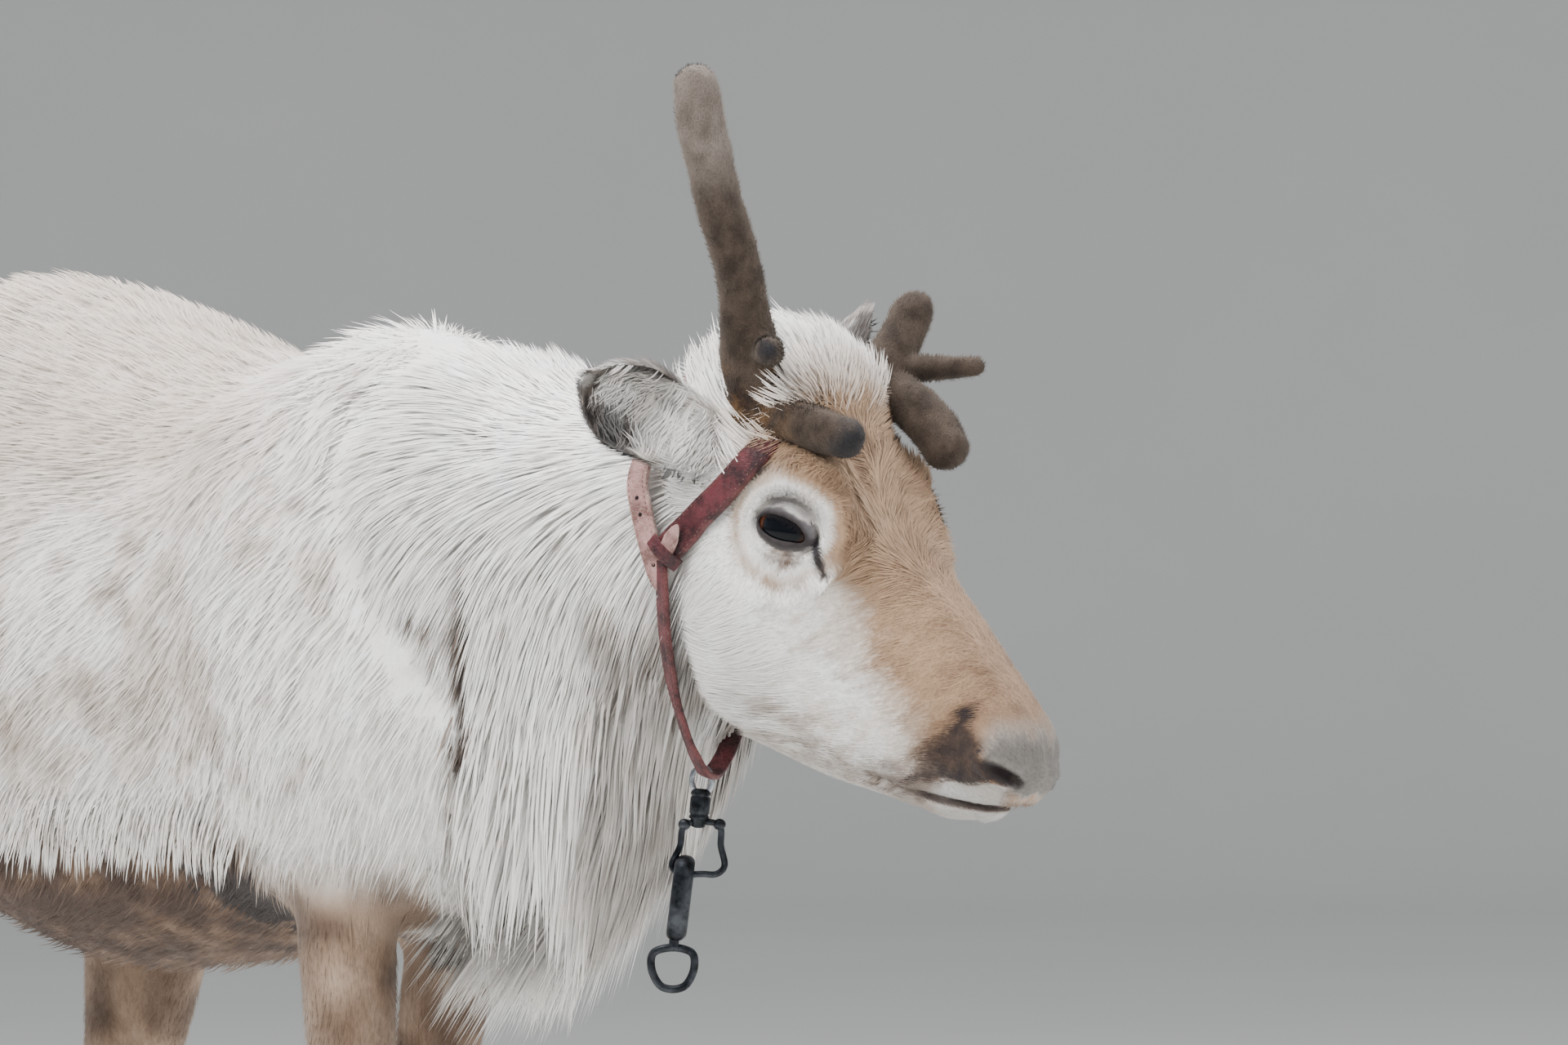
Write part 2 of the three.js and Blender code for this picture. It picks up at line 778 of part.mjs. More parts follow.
// Stations [x, angle] on the right half of the head, up to the crown, then mirrored. The band's middle is proud of the coat.
function overCrown(target, route, steps, proud) {
  const mirrored = [...route, ...[...route].reverse().slice(1).map(([x, angle]) => [x, -angle])];
  const plan = new THREE.CatmullRomCurve3(mirrored.map(([x, angle]) => V(x, angle, 0)), false, "centripetal");
  const hits = plan.getPoints(steps).map((p) => onCoat(target, p.x, p.y));
  const outs = smoothed(hits.map((hit) => hit.out), 4).map((out) => out.normalize());
  return smoothed(hits.map((hit) => hit.at), 1).map((at, i) => ({ at: at.addScaledVector(outs[i], proud), out: outs[i] }));
}

function makeStraps(target) {
  const crown = band(
    overCrown(target, [[-71, -124], [-60, -94], [-51, -64], [-92, -40], [-114, -18], [-118, 0]], 20, 4),
    { width: 21, thick: 5.5 },
  );
  const nape = band(
    overCrown(target, [[-47, -127], [-112, -101], [-134, -62], [-143, -28], [-144, 0]], 18, 4),
    { width: 16, thick: 6 },
  );
  const loop = new THREE.CatmullRomCurve3(
    [
      [JOIN.x, -JOIN.y, JOIN.z - 6],
      [-30, -80, -118],
      [4, -68, -147],
      [32, -37, -176],
      [43, -22, -185],
      [30, 12, -180],
      [4, 50, -152],
      [-30, 76, -118],
      [JOIN.x, JOIN.y, JOIN.z - 6],
    ].map(([x, y, z]) => inHead(x, y, z)),
    false,
    "centripetal",
  );
  const heart = inHead(-20, 0, -70);
  const throat = band(
    loop.getSpacedPoints(20).map((at) => ({ at, out: at.clone().sub(heart).normalize() })),
    { width: 13, thick: 4.5 },
  );
  return { crown, nape, throat };
}

// The steel below the throat, in the plane seen from the right fore quarter. (0, 0) is the middle of the top ring.
const RING_AT = inHead(43, -24, -191);
const STEEL_RIGHT = V(0.559, 0.829, 0);
const STEEL_AWAY = V(-0.829, 0.559, 0);
const inSteel = (r, z, away = 0) =>
  RING_AT.clone().addScaledVector(STEEL_RIGHT, r).addScaledVector(STEEL_AWAY, away).addScaledVector(Z, z);

function rod(from, to, r, sides = 8) {
  const span = to.clone().sub(from);
  const turn = new THREE.Quaternion().setFromUnitVectors(Y, span.clone().normalize());
  const matrix = new THREE.Matrix4().compose(from.clone().lerp(to, 0.5), turn, V(1, 1, 1));
  return solid(new THREE.CylinderGeometry(r, r, span.length(), sides).applyMatrix4(matrix));
}

function makeFittings() {
  const level = new THREE.Euler();
  const oval = (halfWide, halfHigh, n = 8) =>
    Array.from({ length: n }, (_, i) => {
      const angle = (2 * Math.PI * i) / n;
      return inSteel(halfWide * Math.cos(angle), halfHigh * Math.sin(angle));
    });
  const ring = closedBar(oval(7, 9), 2, { steps: 16, sides: 6, across: STEEL_AWAY });
  const swivel = fused([
    rod(inSteel(-0.5, -5.5), inSteel(-2, -25), 7),
    ellipsoid(inSteel(-2, -28), V(5, 5, 4.5), level, 6, 4),
  ]);
  const linkCorners = [[-11, -30], [-15, -45], [-20.5, -58], [-14, -64], [0, -64], [10, -64], [15.5, -58], [13, -45], [11, -30]];
  const link = fused([
    closedBar(linkCorners.map(([r, z]) => inSteel(r, z)), 2.3, { steps: 18, sides: 5, across: STEEL_AWAY }),
    ...[-12, 12].map((r) => ellipsoid(inSteel(r, -30), V(4, 4, 4), level, 6, 4)),
  ]);
  const snapCorners = [[-9, -61], [0, -56], [9, -61], [10, -82], [6, -99], [0, -105], [-6, -99], [-10, -82]];
  const snap = closedBar(
    snapCorners.map(([away, z]) => inSteel(-11.5 + (z + 55) * 0.12, z, away)),
    5.2,
    { steps: 18, sides: 6, across: STEEL_RIGHT, squash: 1.35 },
  );
  const eyeCorners = [[-33, -118], [-20, -114.5], [-7, -118], [-5.5, -129], [-11, -140], [-20, -143], [-29, -140], [-34.5, -129]];
  const eye = fused([
    closedBar(eyeCorners.map(([r, z]) => inSteel(r, z)), 2.8, { steps: 20, sides: 6, across: STEEL_AWAY }),
    rod(inSteel(-18.6, -104), inSteel(-19.5, -115), 4.2),
  ]);
  return { ring, swivel, link, snap, eye };
}

// Assembly

const finishes = {
  coat: { color: 0xe8e4dc, roughness: 0.9, metalness: 0 },
  legCoat: { color: 0x8a7260, roughness: 0.9, metalness: 0 },
  faceCoat: { color: 0xc8ae94, roughness: 0.85, metalness: 0 },
  velvet: { color: 0x6e5f56, roughness: 0.95, metalness: 0 },
  eye: { color: 0x14110f, roughness: 0.1, metalness: 0 },
  horn: { color: 0x2f2a26, roughness: 0.5, metalness: 0 },
  leather: { color: 0x6b2a2a, roughness: 0.6, metalness: 0 },
  steel: { color: 0x5b5d60, roughness: 0.35, metalness: 1 },
};
const materials = Object.fromEntries(
  Object.entries(finishes).map(([name, look]) => [name, new THREE.MeshStandardMaterial(look)]),
);
const made = [];
const keep = (name, piece, material) => made.push({ name, piece, material });

const torso = makeTorso();
const skull = skullTube().solid;
const skullMesh = new THREE.Mesh(geometryOf(skull), new THREE.MeshBasicMaterial());
const eyes = [-1, 1].map((side) => makeEye(skullMesh, side));
const lids = [-1, 1].map((side) => makeLid(skullMesh, side));
const jaw = makeJaw();
const head = makeHead(skull, lids, jaw, eyes);
const neckCore = neckTube();
const coatMesh = new THREE.Mesh(geometryOf(neckCore.solid.add(head)), new THREE.MeshBasicMaterial());
const straps = makeStraps(coatMesh);
const fittings = makeFittings();
const crown = largest(cutBy(straps.crown, [head, jaw]));
const nape = largest(cutBy(straps.nape, [head, jaw, crown]));
const throat = largest(cutBy(straps.throat, [head, jaw, crown, nape, fittings.ring]));
const maned = fused([neckCore.solid, ...maneLocks(neckCore)]);
const neck = largest(cutBy(maned, [torso, head, jaw, crown, nape, throat, ...Object.values(fittings)]));
keep("torso", torso, "coat");
keep("neck", neck, "coat");
keep("head", head, "faceCoat");
keep("lower_jaw", jaw, "faceCoat");
keep("eye_right", eyes[0], "eye");
keep("eye_left", eyes[1], "eye");

const earRight = makeEar(inHead(-100, -58, -10), inHead(-158, -150, -6), headward(0.72, -0.47, 0.2), 120);
const earLeft = makeEar(inHead(-100, 58, 0), inHead(-152, 110, 80), headward(0.85, 0.45, 0.1), 112);
const antlers = makeAntlers();
const aroundEars = [head, maned, crown, nape];
keep("ear_right", largest(cutBy(earRight, [...aroundEars, antlers.right.beam])), "coat");
keep("ear_left", largest(cutBy(earLeft, [...aroundEars, antlers.left.beam])), "coat");
for (const side of ["right", "left"]) {
  const { beam, brow_tine, bez_tine } = antlers[side];
  keep("antler_" + side + "_beam", largest(cutBy(beam, [head, crown])), "velvet");
  keep("antler_" + side + "_brow_tine", largest(cutBy(brow_tine, [beam, head, crown])), "velvet");
  keep("antler_" + side + "_bez_tine", largest(cutBy(bez_tine, [beam, brow_tine, head])), "velvet");
}

for (const [which, legs, keysOf, bumpsOf, jointZ] of [
  ["fore", FORE_LEGS, foreKeys, foreBumps, KNEE],
  ["hind", HIND_LEGS, hindKeys, hindBumps, HOCK],
]) {
  for (const [side, leg] of Object.entries(legs)) {
    const foot = V(leg.footX, leg.side * leg.out, 0);
    const { upper, lower, hooves, dewclaws } = makeLeg(keysOf(leg), bumpsOf(leg), jointZ, foot, torso);
    const name = which + "leg_" + side;
    keep(name + "_upper", upper, "legCoat");
    keep(name + "_lower", lower, "legCoat");
    ["outer", "inner"].forEach((where, i) => {
      const n = (leg.side > 0) === (i === 0) ? 1 : 0;
      keep("hoof_" + which + "_" + side + "_" + where, hooves[n], "horn");
      keep("dewclaw_" + which + "_" + side + "_" + where, dewclaws[n], "horn");
    });
  }
}
keep("tail", makeTail(torso), "coat");
keep("strap_crown", crown, "leather");
keep("strap_nape", nape, "leather");
keep("strap_throat", throat, "leather");
keep("ring", fittings.ring, "steel");
keep("swivel", largest(cutBy(fittings.swivel, [fittings.ring, throat, fittings.link])), "steel");
keep("link", fittings.link, "steel");
keep("snap", largest(cutBy(fittings.snap, [fittings.link])), "steel");
keep("snap_eye", largest(cutBy(fittings.eye, [fittings.snap])), "steel");

// The part's origin is on the ground, under the middle of its bounding box.
const box = new THREE.Box3();
const reindeer = new THREE.Group();
for (const { name, piece, material } of made) {
  const mesh = new THREE.Mesh(geometryOf(piece), materials[material]);
  mesh.name = name;
  mesh.geometry.computeBoundingBox();
  box.union(mesh.geometry.boundingBox);
  reindeer.add(mesh);
}
const middle = box.getCenter(V(0, 0, 0));
for (const mesh of reindeer.children) mesh.geometry.translate(-middle.x, -middle.y, -box.min.z);

export default reindeer;
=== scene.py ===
# Reindeer in its spring coat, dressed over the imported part: skin, coat, eyes, antlers in velvet, hooves,
# leather headstall and its steel. Shapes are worked out in millimetres in the body's own frame, the one the
# part's source uses (+X forward, +Y the animal's left, +Z up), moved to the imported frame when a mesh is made.
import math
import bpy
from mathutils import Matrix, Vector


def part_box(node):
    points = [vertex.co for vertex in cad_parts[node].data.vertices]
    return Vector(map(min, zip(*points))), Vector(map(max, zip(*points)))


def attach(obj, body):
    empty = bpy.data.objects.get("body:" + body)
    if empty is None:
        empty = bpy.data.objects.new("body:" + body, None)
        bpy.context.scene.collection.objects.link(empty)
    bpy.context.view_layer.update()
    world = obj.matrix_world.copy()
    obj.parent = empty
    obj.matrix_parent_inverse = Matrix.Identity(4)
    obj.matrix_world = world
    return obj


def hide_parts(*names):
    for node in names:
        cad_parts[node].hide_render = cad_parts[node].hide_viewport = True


bl_info = {
    "name": "Reindeer dressing",
    "version": (1, 0, 0),
    "blender": (4, 5, 0),
    "location": "3D View > Sidebar > Reindeer",
    "description": "Skin, coat, eyes, velvet, hooves, leather and steel over the packed reindeer",
    "category": "Object",
}

import bpy
import numpy as np
from mathutils import Vector
from mathutils.bvhtree import BVHTree

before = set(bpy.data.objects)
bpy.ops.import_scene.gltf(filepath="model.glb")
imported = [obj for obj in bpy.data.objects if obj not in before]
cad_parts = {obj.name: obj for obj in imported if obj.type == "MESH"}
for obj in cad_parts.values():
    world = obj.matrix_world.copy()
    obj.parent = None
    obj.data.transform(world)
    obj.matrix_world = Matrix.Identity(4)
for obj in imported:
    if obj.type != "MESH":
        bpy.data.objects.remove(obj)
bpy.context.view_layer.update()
CHEST_FRONT = 172.0  # x of the torso's front in the body's frame
SHIFT = np.array([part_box("torso")[1].x * 1000.0 - CHEST_FRONT, 0.0, 0.0])

# Driving sizes of the body, as in the part's source

WITHERS, CROUP, BACK_DIP = 1020.0, 1068.0, 996.0
STERNUM, BELLY = 562.0, 511.0
CHEST_HALF, RIB_HALF, BELLY_HALF, HIP_HALF = 150.0, 208.0, 232.0, 196.0
CHEST_X, RUMP_X = 120.0, -842.0
KNEE, HOCK, FETLOCK = 335.0, 400.0, 108.0
HOCK_BACK = 52.0
FORE_LEGS = {
    "right": {"side": -1, "top": -30.0, "foot": 2.0, "out": 82.0},
    "left": {"side": 1, "top": -125.0, "foot": -252.0, "out": 82.0},
}
HIND_LEGS = {
    "right": {"side": -1, "top": -600.0, "foot": -620.0, "out": 114.0},
    "left": {"side": 1, "top": -625.0, "foot": -668.0, "out": 118.0},
}
HEAD_AT = np.array([425.0, 48.0, 857.0])
HEAD_TURN = math.radians(24.0)
HEAD_DROP = math.radians(45.0)
TURN = np.array(
    [
        [math.cos(HEAD_TURN), -math.sin(HEAD_TURN), 0.0],
        [math.sin(HEAD_TURN), math.cos(HEAD_TURN), 0.0],
        [0.0, 0.0, 1.0],
    ]
)
NOD = np.array(
    [
        [math.cos(HEAD_DROP), 0.0, math.sin(HEAD_DROP)],
        [0.0, 1.0, 0.0],
        [-math.sin(HEAD_DROP), 0.0, math.cos(HEAD_DROP)],
    ]
)
HEAD_AXES = TURN @ NOD  # columns are the head's forward, left and up
X, Y, Z = np.eye(3)
PHOTO_RIGHT = np.array([0.559, 0.829, 0.0])  # the picture's right and its depth, in the body's frame
PHOTO_AWAY = np.array([-0.829, 0.559, 0.0])

# Coat depths: how far the skin lies inside the coat's outline, in millimetres

TRUNK_COAT = 11.0
NECK_COAT = 16.0
LEG_COAT = 4.0
FACE_COAT = 2.6
VELVET_COAT = 2.6
TAIL_COAT = 7.0
HAIR_LEAN = 0.9  # how far each tuft's shading leans to the skin's, as hair that lies together is lit
MOST_TRIANGLES = 196000  # of one coat piece
UV_PATCH = 0.003  # size of one tuft on the map


# Numbers and shapes


def unit(v):
    """Each row divided by its own length."""
    return v / np.maximum(np.linalg.norm(v, axis=-1, keepdims=True), 1e-9)


def smoothstep(low, high, value):
    """0 below low, 1 above high, and 3t2 - 2t3 of the share between them."""
    t = np.clip((value - low) / (high - low), 0.0, 1.0)
    return t * t * (3.0 - 2.0 * t)


def hump(value, middle, reach):
    """exp(-((value - middle) / reach)^2): 1 at the middle and almost nothing past twice the reach."""
    return np.exp(-(((value - middle) / reach) ** 2))


def in_head(points):
    """Points of the head's own frame in the body's frame: turned by the head's axes, then moved to its
    origin."""
    return np.asarray(points, float) @ HEAD_AXES.T + HEAD_AT


def headward(directions):
    """Directions of the head's own frame in the body's frame."""
    return np.asarray(directions, float) @ HEAD_AXES.T


def to_head(points):
    """Points of the body's frame in the head's own frame."""
    return (np.asarray(points, float) - HEAD_AT) @ HEAD_AXES


def lattice(i, j, k, seed):
    """A repeatable number from -1 to 1 at each point of a whole-number lattice, by mixing its three
    indices."""
    mixed = (i * 73856093) ^ (j * 19349663) ^ (k * 83492791) ^ (seed * 2654435761 % 2147483647)
    mixed = ((mixed ^ (mixed >> 13)) * 1274126177) & 0x7FFFFFFF
    mixed = mixed ^ (mixed >> 15)
    return (mixed & 0xFFFF) / 32767.5 - 1.0


def noise(points, size, seed=0):
    """Smooth noise from -1 to 1 with bumps about size across: lattice values blended by the smooth step
    along each axis."""
    p = np.asarray(points, float) / size
    base = np.floor(p).astype(np.int64)
    f = p - base
    f = f * f * (3.0 - 2.0 * f)
    total = np.zeros(len(p))
    for di in (0, 1):
        for dj in (0, 1):
            for dk in (0, 1):
                share = (
                    (f[:, 0] if di else 1 - f[:, 0])
                    * (f[:, 1] if dj else 1 - f[:, 1])
                    * (f[:, 2] if dk else 1 - f[:, 2])
                )
                total += share * lattice(base[:, 0] + di, base[:, 1] + dj, base[:, 2] + dk, seed)
    return total


def catmull(points, t):
    """Uniform Catmull-Rom curve through the rows of points at t from 0 to 1, mirrored past its ends."""
    p = np.asarray(points, float)
    padded = np.vstack([2 * p[0] - p[1], p, 2 * p[-1] - p[-2]])
    u = np.clip(t, 0.0, 1.0) * (len(p) - 1)
    i = np.minimum(u.astype(int), len(p) - 2)
    f = (u - i)[:, None]
    before, start, end, after = padded[i], padded[i + 1], padded[i + 2], padded[i + 3]
    leave, arrive = 0.5 * (end - before), 0.5 * (after - start)
    return (
        (2 * f**3 - 3 * f**2 + 1) * start
        + (f**3 - 2 * f**2 + f) * leave
        + (3 * f**2 - 2 * f**3) * end
        + (f**3 - f**2) * arrive
    )


def segment_distance(points, start, end):
    """Distance of each point from the straight line between start and end."""
    start, span = np.asarray(start, float), np.asarray(end, float) - np.asarray(start, float)
    along = np.clip(((points - start) @ span) / max(span @ span, 1e-9), 0.0, 1.0)
    return np.linalg.norm(points - start - along[..., None] * span, axis=-1)


def swell(points, out, bumps):
    """Points moved along out by rise x exp(-(distance / reach)^2) for each bump, a capsule from at to to."""
    lift = np.zeros(points.shape[:-1])
    for at, to, reach, rise in bumps:
        lift += rise * hump(segment_distance(points, at, to), 0.0, reach)
    return points + out * lift[..., None]


def tube(keys, rings, sides, across, along=None, square=2.0, keel=None, domes=(0.0, 0.0), bumps=()):
    """Rings carried along a spine and closed at both ends. Each key is x, y, z, half width, half height
    above and below. A ring is a squared ellipse: side x wide x |cos|^(2/square) + top x height x
    |sin|^(2/square), and keel squares its lower half. Both ends close as half ellipsoids as deep as the
    domes."""
    keys = np.asarray(keys, float)
    keel = square if keel is None else keel
    turn = np.linspace(0.0, 0.5 * np.pi, 9)[1:]
    t = np.concatenate([np.zeros(8), np.linspace(0.0, 1.0, rings), np.ones(8)])
    shrink = np.concatenate([np.cos(turn)[::-1], np.ones(rings), np.cos(turn)])
    shift = np.concatenate([-domes[0] * np.sin(turn)[::-1], np.zeros(rings), domes[1] * np.sin(turn)])
    centre, size = catmull(keys[:, :3], t), catmull(keys[:, 3:], t)
    if along is None:
        after, before = (catmull(keys[:, :3], np.clip(t + step, 0, 1)) for step in (1e-3, -1e-3))
        forward = unit(after - before)
    else:
        forward = np.tile(np.asarray(along, float), (len(t), 1))
    side = unit(across - forward * (forward @ across)[:, None])
    top = np.cross(forward, side)
    angle = np.linspace(0.0, 2 * np.pi, sides, endpoint=False)
    c, s = np.cos(angle), np.sin(angle)
    power = np.where(s > 0, 2.0 / square, 2.0 / keel)
    wide = np.sign(c) * np.abs(c) ** power
    high = np.sign(s) * np.abs(s) ** power
    height = np.where(s > 0, size[:, 1:2], size[:, 2:3])
    out = (
        side[:, None, :] * (size[:, 0:1] * wide * shrink[:, None])[..., None]
        + top[:, None, :] * (height * high * shrink[:, None])[..., None]
    )
    grid = (centre + forward * shift[:, None])[:, None, :] + out
    return swell(grid, unit(out + 1e-6 * side[:, None, :]), bumps)


def capped(grid):
    """A grid of rings with a pole added at the middle of its first and of its last ring."""
    first, last = (np.repeat(end.mean(0)[None, None], grid.shape[1], axis=1) for end in (grid[0], grid[-1]))
    return np.concatenate([first, grid, last])


def closed_grid(grid):
    """Points and faces of a grid of rings whose first and last ring are poles: quads between rings, fans at
    the poles."""
    rings, sides = grid.shape[:2]
    body = grid[1:-1].reshape(-1, 3)
    points = np.vstack([body, grid[0].mean(0), grid[-1].mean(0)])
    i, j = np.meshgrid(np.arange(rings - 3), np.arange(sides), indexing="ij")
    a, b = i * sides + j, i * sides + (j + 1) % sides
    quads = np.stack([a, b, b + sides, a + sides], axis=-1).reshape(-1, 4)
    j = np.arange(sides)
    k = (j + 1) % sides
    first, last = len(body), (rings - 3) * sides
    fans = np.vstack(
        [
            np.stack([np.full(sides, first), k, j], axis=-1),
            np.stack([np.full(sides, first + 1), last + j, last + k], axis=-1),
        ]
    )
    return points, [quads, fans]


def ring_grid(grid):
    """Points and faces of a grid that closes on itself both ways, as a bent bar does."""
    rings, sides = grid.shape[:2]
    i, j = np.meshgrid(np.arange(rings), np.arange(sides), indexing="ij")
    i2, j2 = (i + 1) % rings, (j + 1) % sides
    quads = np.stack([i * sides + j, i * sides + j2, i2 * sides + j2, i2 * sides + j], axis=-1)
    return grid.reshape(-1, 3), [quads.reshape(-1, 4)]


def joined(shapes):
    """Several (points, faces) as one."""
    points, faces, start = [], [], 0
    for some, kinds in shapes:
        points.append(some)
        faces += [kind + start for kind in kinds]
        start += len(some)
    return np.vstack(points), faces


def write_points(mesh, points):
    """Sets a mesh's vertices from millimetres of the body's frame."""
    mesh.vertices.foreach_set("co", ((points + SHIFT) / 1000.0).astype(np.float32).ravel())


def mesh_of(name, points, faces):
    """A mesh from points in millimetres of the body's frame and lists of equal-sided faces."""
    mesh = bpy.data.meshes.new(name)
    mesh.vertices.add(len(points))
    write_points(mesh, points)
    corners = np.concatenate([f.ravel() for f in faces]).astype(np.int32)
    sizes = np.concatenate([np.full(len(f), f.shape[1]) for f in faces])
    mesh.loops.add(len(corners))
    mesh.loops.foreach_set("vertex_index", corners)
    mesh.polygons.add(len(sizes))
    mesh.polygons.foreach_set("loop_start", (np.cumsum(sizes) - sizes).astype(np.int32))
    mesh.update(calc_edges=True)
    mesh.polygons.foreach_set("use_smooth", np.ones(len(sizes), bool))
    return mesh


def read_rows(mesh, field):
    """One row of three numbers per vertex, as stored."""
    flat = np.empty(len(mesh.vertices) * 3, np.float32)
    mesh.vertices.foreach_get(field, flat)
    return flat.reshape(-1, 3).astype(float)


def read_points(mesh):
    """A mesh's vertices in millimetres of the body's frame."""
    return read_rows(mesh, "co") * 1000.0 - SHIFT


def read_normals(mesh):
    """A mesh's vertex normals."""
    return read_rows(mesh, "normal")


def evened(mesh, passes, hold):
    """Moves each vertex half way to the mean of its neighbours, passes times, then back out by hold to keep
    the bulk."""
    points = read_points(mesh)
    edges = np.empty(len(mesh.edges) * 2, np.int32)
    mesh.edges.foreach_get("vertices", edges)
    a, b = edges.reshape(-1, 2).T
    one_end, other_end = np.concatenate([a, b]), np.concatenate([b, a])
    count = np.maximum(np.bincount(one_end, minlength=len(points)), 1)
    for _ in range(passes):
        total = [np.bincount(one_end, points[other_end, i], len(points)) for i in range(3)]
        points = 0.5 * points + 0.5 * np.stack(total, axis=-1) / count[:, None]
    write_points(mesh, points)
    mesh.update()
    write_points(mesh, read_points(mesh) + hold * read_normals(mesh))
    mesh.update()


def united(name, shapes, voxel, passes, hold):
    """One closed skin over several closed shapes: Blender's voxel remesh at that size in millimetres, then
    evened."""
    points, faces = joined(shapes)
    rough = linked(name + "_rough", mesh_of(name + "_rough", points, faces))
    remesh = rough.modifiers.new("One skin", "REMESH")
    remesh.mode = "VOXEL"
    remesh.voxel_size = voxel / 1000.0
    shown = rough.evaluated_get(bpy.context.evaluated_depsgraph_get())
    mesh = bpy.data.meshes.new_from_object(shown)
    mesh.name = name
    bpy.data.objects.remove(rough)
    evened(mesh, passes, hold)
    mesh.polygons.foreach_set("use_smooth", np.ones(len(mesh.polygons), bool))
    return mesh


def linked(name, data):
    """A new object in the scene."""
    obj = bpy.data.objects.new(name, data)
    bpy.context.scene.collection.objects.link(obj)
    return obj


def piece(name, mesh, material, slot, *nodes):
    """A finished piece: linked at the origin, riding on the one body, standing for its nodes."""
    obj = linked(name, mesh)
    mesh.materials.append(material)
    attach(obj, "root")
    if nodes:
        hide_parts(*nodes)
    return obj


def set_attribute(mesh, name, kind, values):
    """Writes one value, or one colour, per vertex."""
    attribute = mesh.attributes.new(name, kind, "POINT")
    field = "color" if kind == "FLOAT_COLOR" else "value"
    attribute.data.foreach_set(field, np.asarray(values, np.float32).ravel())


def set_uv(mesh, name, uv):
    """A UV map from one pair per vertex."""
    layer = mesh.uv_layers.new(name=name)
    corners = np.empty(len(mesh.loops), np.int32)
    mesh.loops.foreach_get("vertex_index", corners)
    layer.data.foreach_set("uv", uv[corners].astype(np.float32).ravel())


# Shapes of the body, each a tube from the same stations as the part's source, less the depth of its coat


def shrunk(keys, depth):
    """Keys with their half sizes less the coat's depth, or less one depth for each key."""
    keys = np.array(keys, float)
    keys[:, 3:] = np.maximum(keys[:, 3:] - np.asarray(depth, float).reshape(-1, 1), 3.0)
    return keys


def torso_shape(depth):
    """The trunk: upright sections from the chest back to the rump, with shoulders, haunches and hollow
    flanks."""

    def station(x, top, bottom, half):
        return [x, 0.0, (top + bottom) / 2, half, (top - bottom) / 2, (top - bottom) / 2]

    keys = [
        station(CHEST_X, 850, 640, CHEST_HALF * 0.7),
        station(60, 925, 590, CHEST_HALF * 0.94),
        station(-30, WITHERS - 6, STERNUM, CHEST_HALF * 1.16),
        station(-110, 1012, STERNUM - 10, RIB_HALF * 0.92),
        station(-195, BACK_DIP, STERNUM - 26, RIB_HALF),
        station(-310, 1010, BELLY + 8, BELLY_HALF * 0.97),
        station(-430, 1040, BELLY, BELLY_HALF),
        station(-540, 1062, BELLY + 26, BELLY_HALF * 0.94),
        station(-635, CROUP, 585, HIP_HALF),
        station(-715, 1052, 640, HIP_HALF * 0.86),
        station(RUMP_X + 50, 1010, 715, HIP_HALF * 0.62),
    ]
    bumps = []
    for side in (-1, 1):
        bumps += [
            ([-70, side * 120, 900], [15, side * 150, 730], 75, 22),  # shoulder blade
            ([-60, side * 130, 640], [-60, side * 130, 640], 75, 20),  # elbow
            ([-650, side * 160, 930], [-610, side * 170, 740], 110, 30),  # haunch
            ([-545, side * 165, 640], [-545, side * 165, 640], 70, 18),  # stifle
            ([-590, side * 120, 1030], [-590, side * 120, 1030], 60, 10),  # hip bone
            ([-510, side * 215, 890], [-500, side * 215, 760], 65, -20),  # hollow of the flank
        ]
    domes = (52 - depth, 48 - depth)
    grid = tube(shrunk(keys, depth), 150, 140, Y, along=-X, square=2.2, keel=1.9, domes=domes, bumps=bumps)
    under = smoothstep(640, 618, grid[..., 2]) * smoothstep(-40, -110, grid[..., 0])  # the belly's shorter hair
    inward = unit(grid * [0, -1, -1] + [0, 0, 720])
    return grid + inward * (7 * under)[..., None]


NECK_KEYS = [
    [-60, 0, 850, 108, 146, 200],
    [60, 0, 850, 134, 148, 232],
    [170, 3, 848, 122, 118, 218],
    [265, 7, 852, 102, 106, 168],
    [330, 13, 858, 86, 100, 124],
    [385, 32, 864, 62, 70, 84],
]


def neck_shape(depth, rings=90, sides=120):
    """The neck: sections square to a spine that rises to the head, keeled below where the mane hangs."""
    return tube(shrunk(NECK_KEYS, depth), rings, sides, Y, square=2.1, keel=1.65, domes=(4, 4))


def fore_keys(leg):
    """Centre and half sizes down a foreleg: elbow, knee, shank, fetlock, pastern."""
    y = leg["side"] * leg["out"]

    def at(share, z, ahead, wide, front, back):
        return [leg["top"] + (leg["foot"] - leg["top"]) * share + ahead, y, z, wide, front, back]

    return [
        at(0, 660, 0, 44, 60, 62),
        at(0.12, 590, 0, 42, 50, 56),
        at(0.3, 500, 0, 36, 41, 44),
        at(0.52, 400, 0, 32, 35, 35),
        at(0.66, KNEE, 4, 33, 36, 34),
        at(0.76, 285, 2, 25, 26, 26),
        at(0.88, 190, 0, 22, 23, 25),
        at(0.98, FETLOCK, 0, 28, 27, 31),
        at(1, 62, 6, 27, 27, 27),
        at(1, 42, 12, 29, 30, 28),
    ]


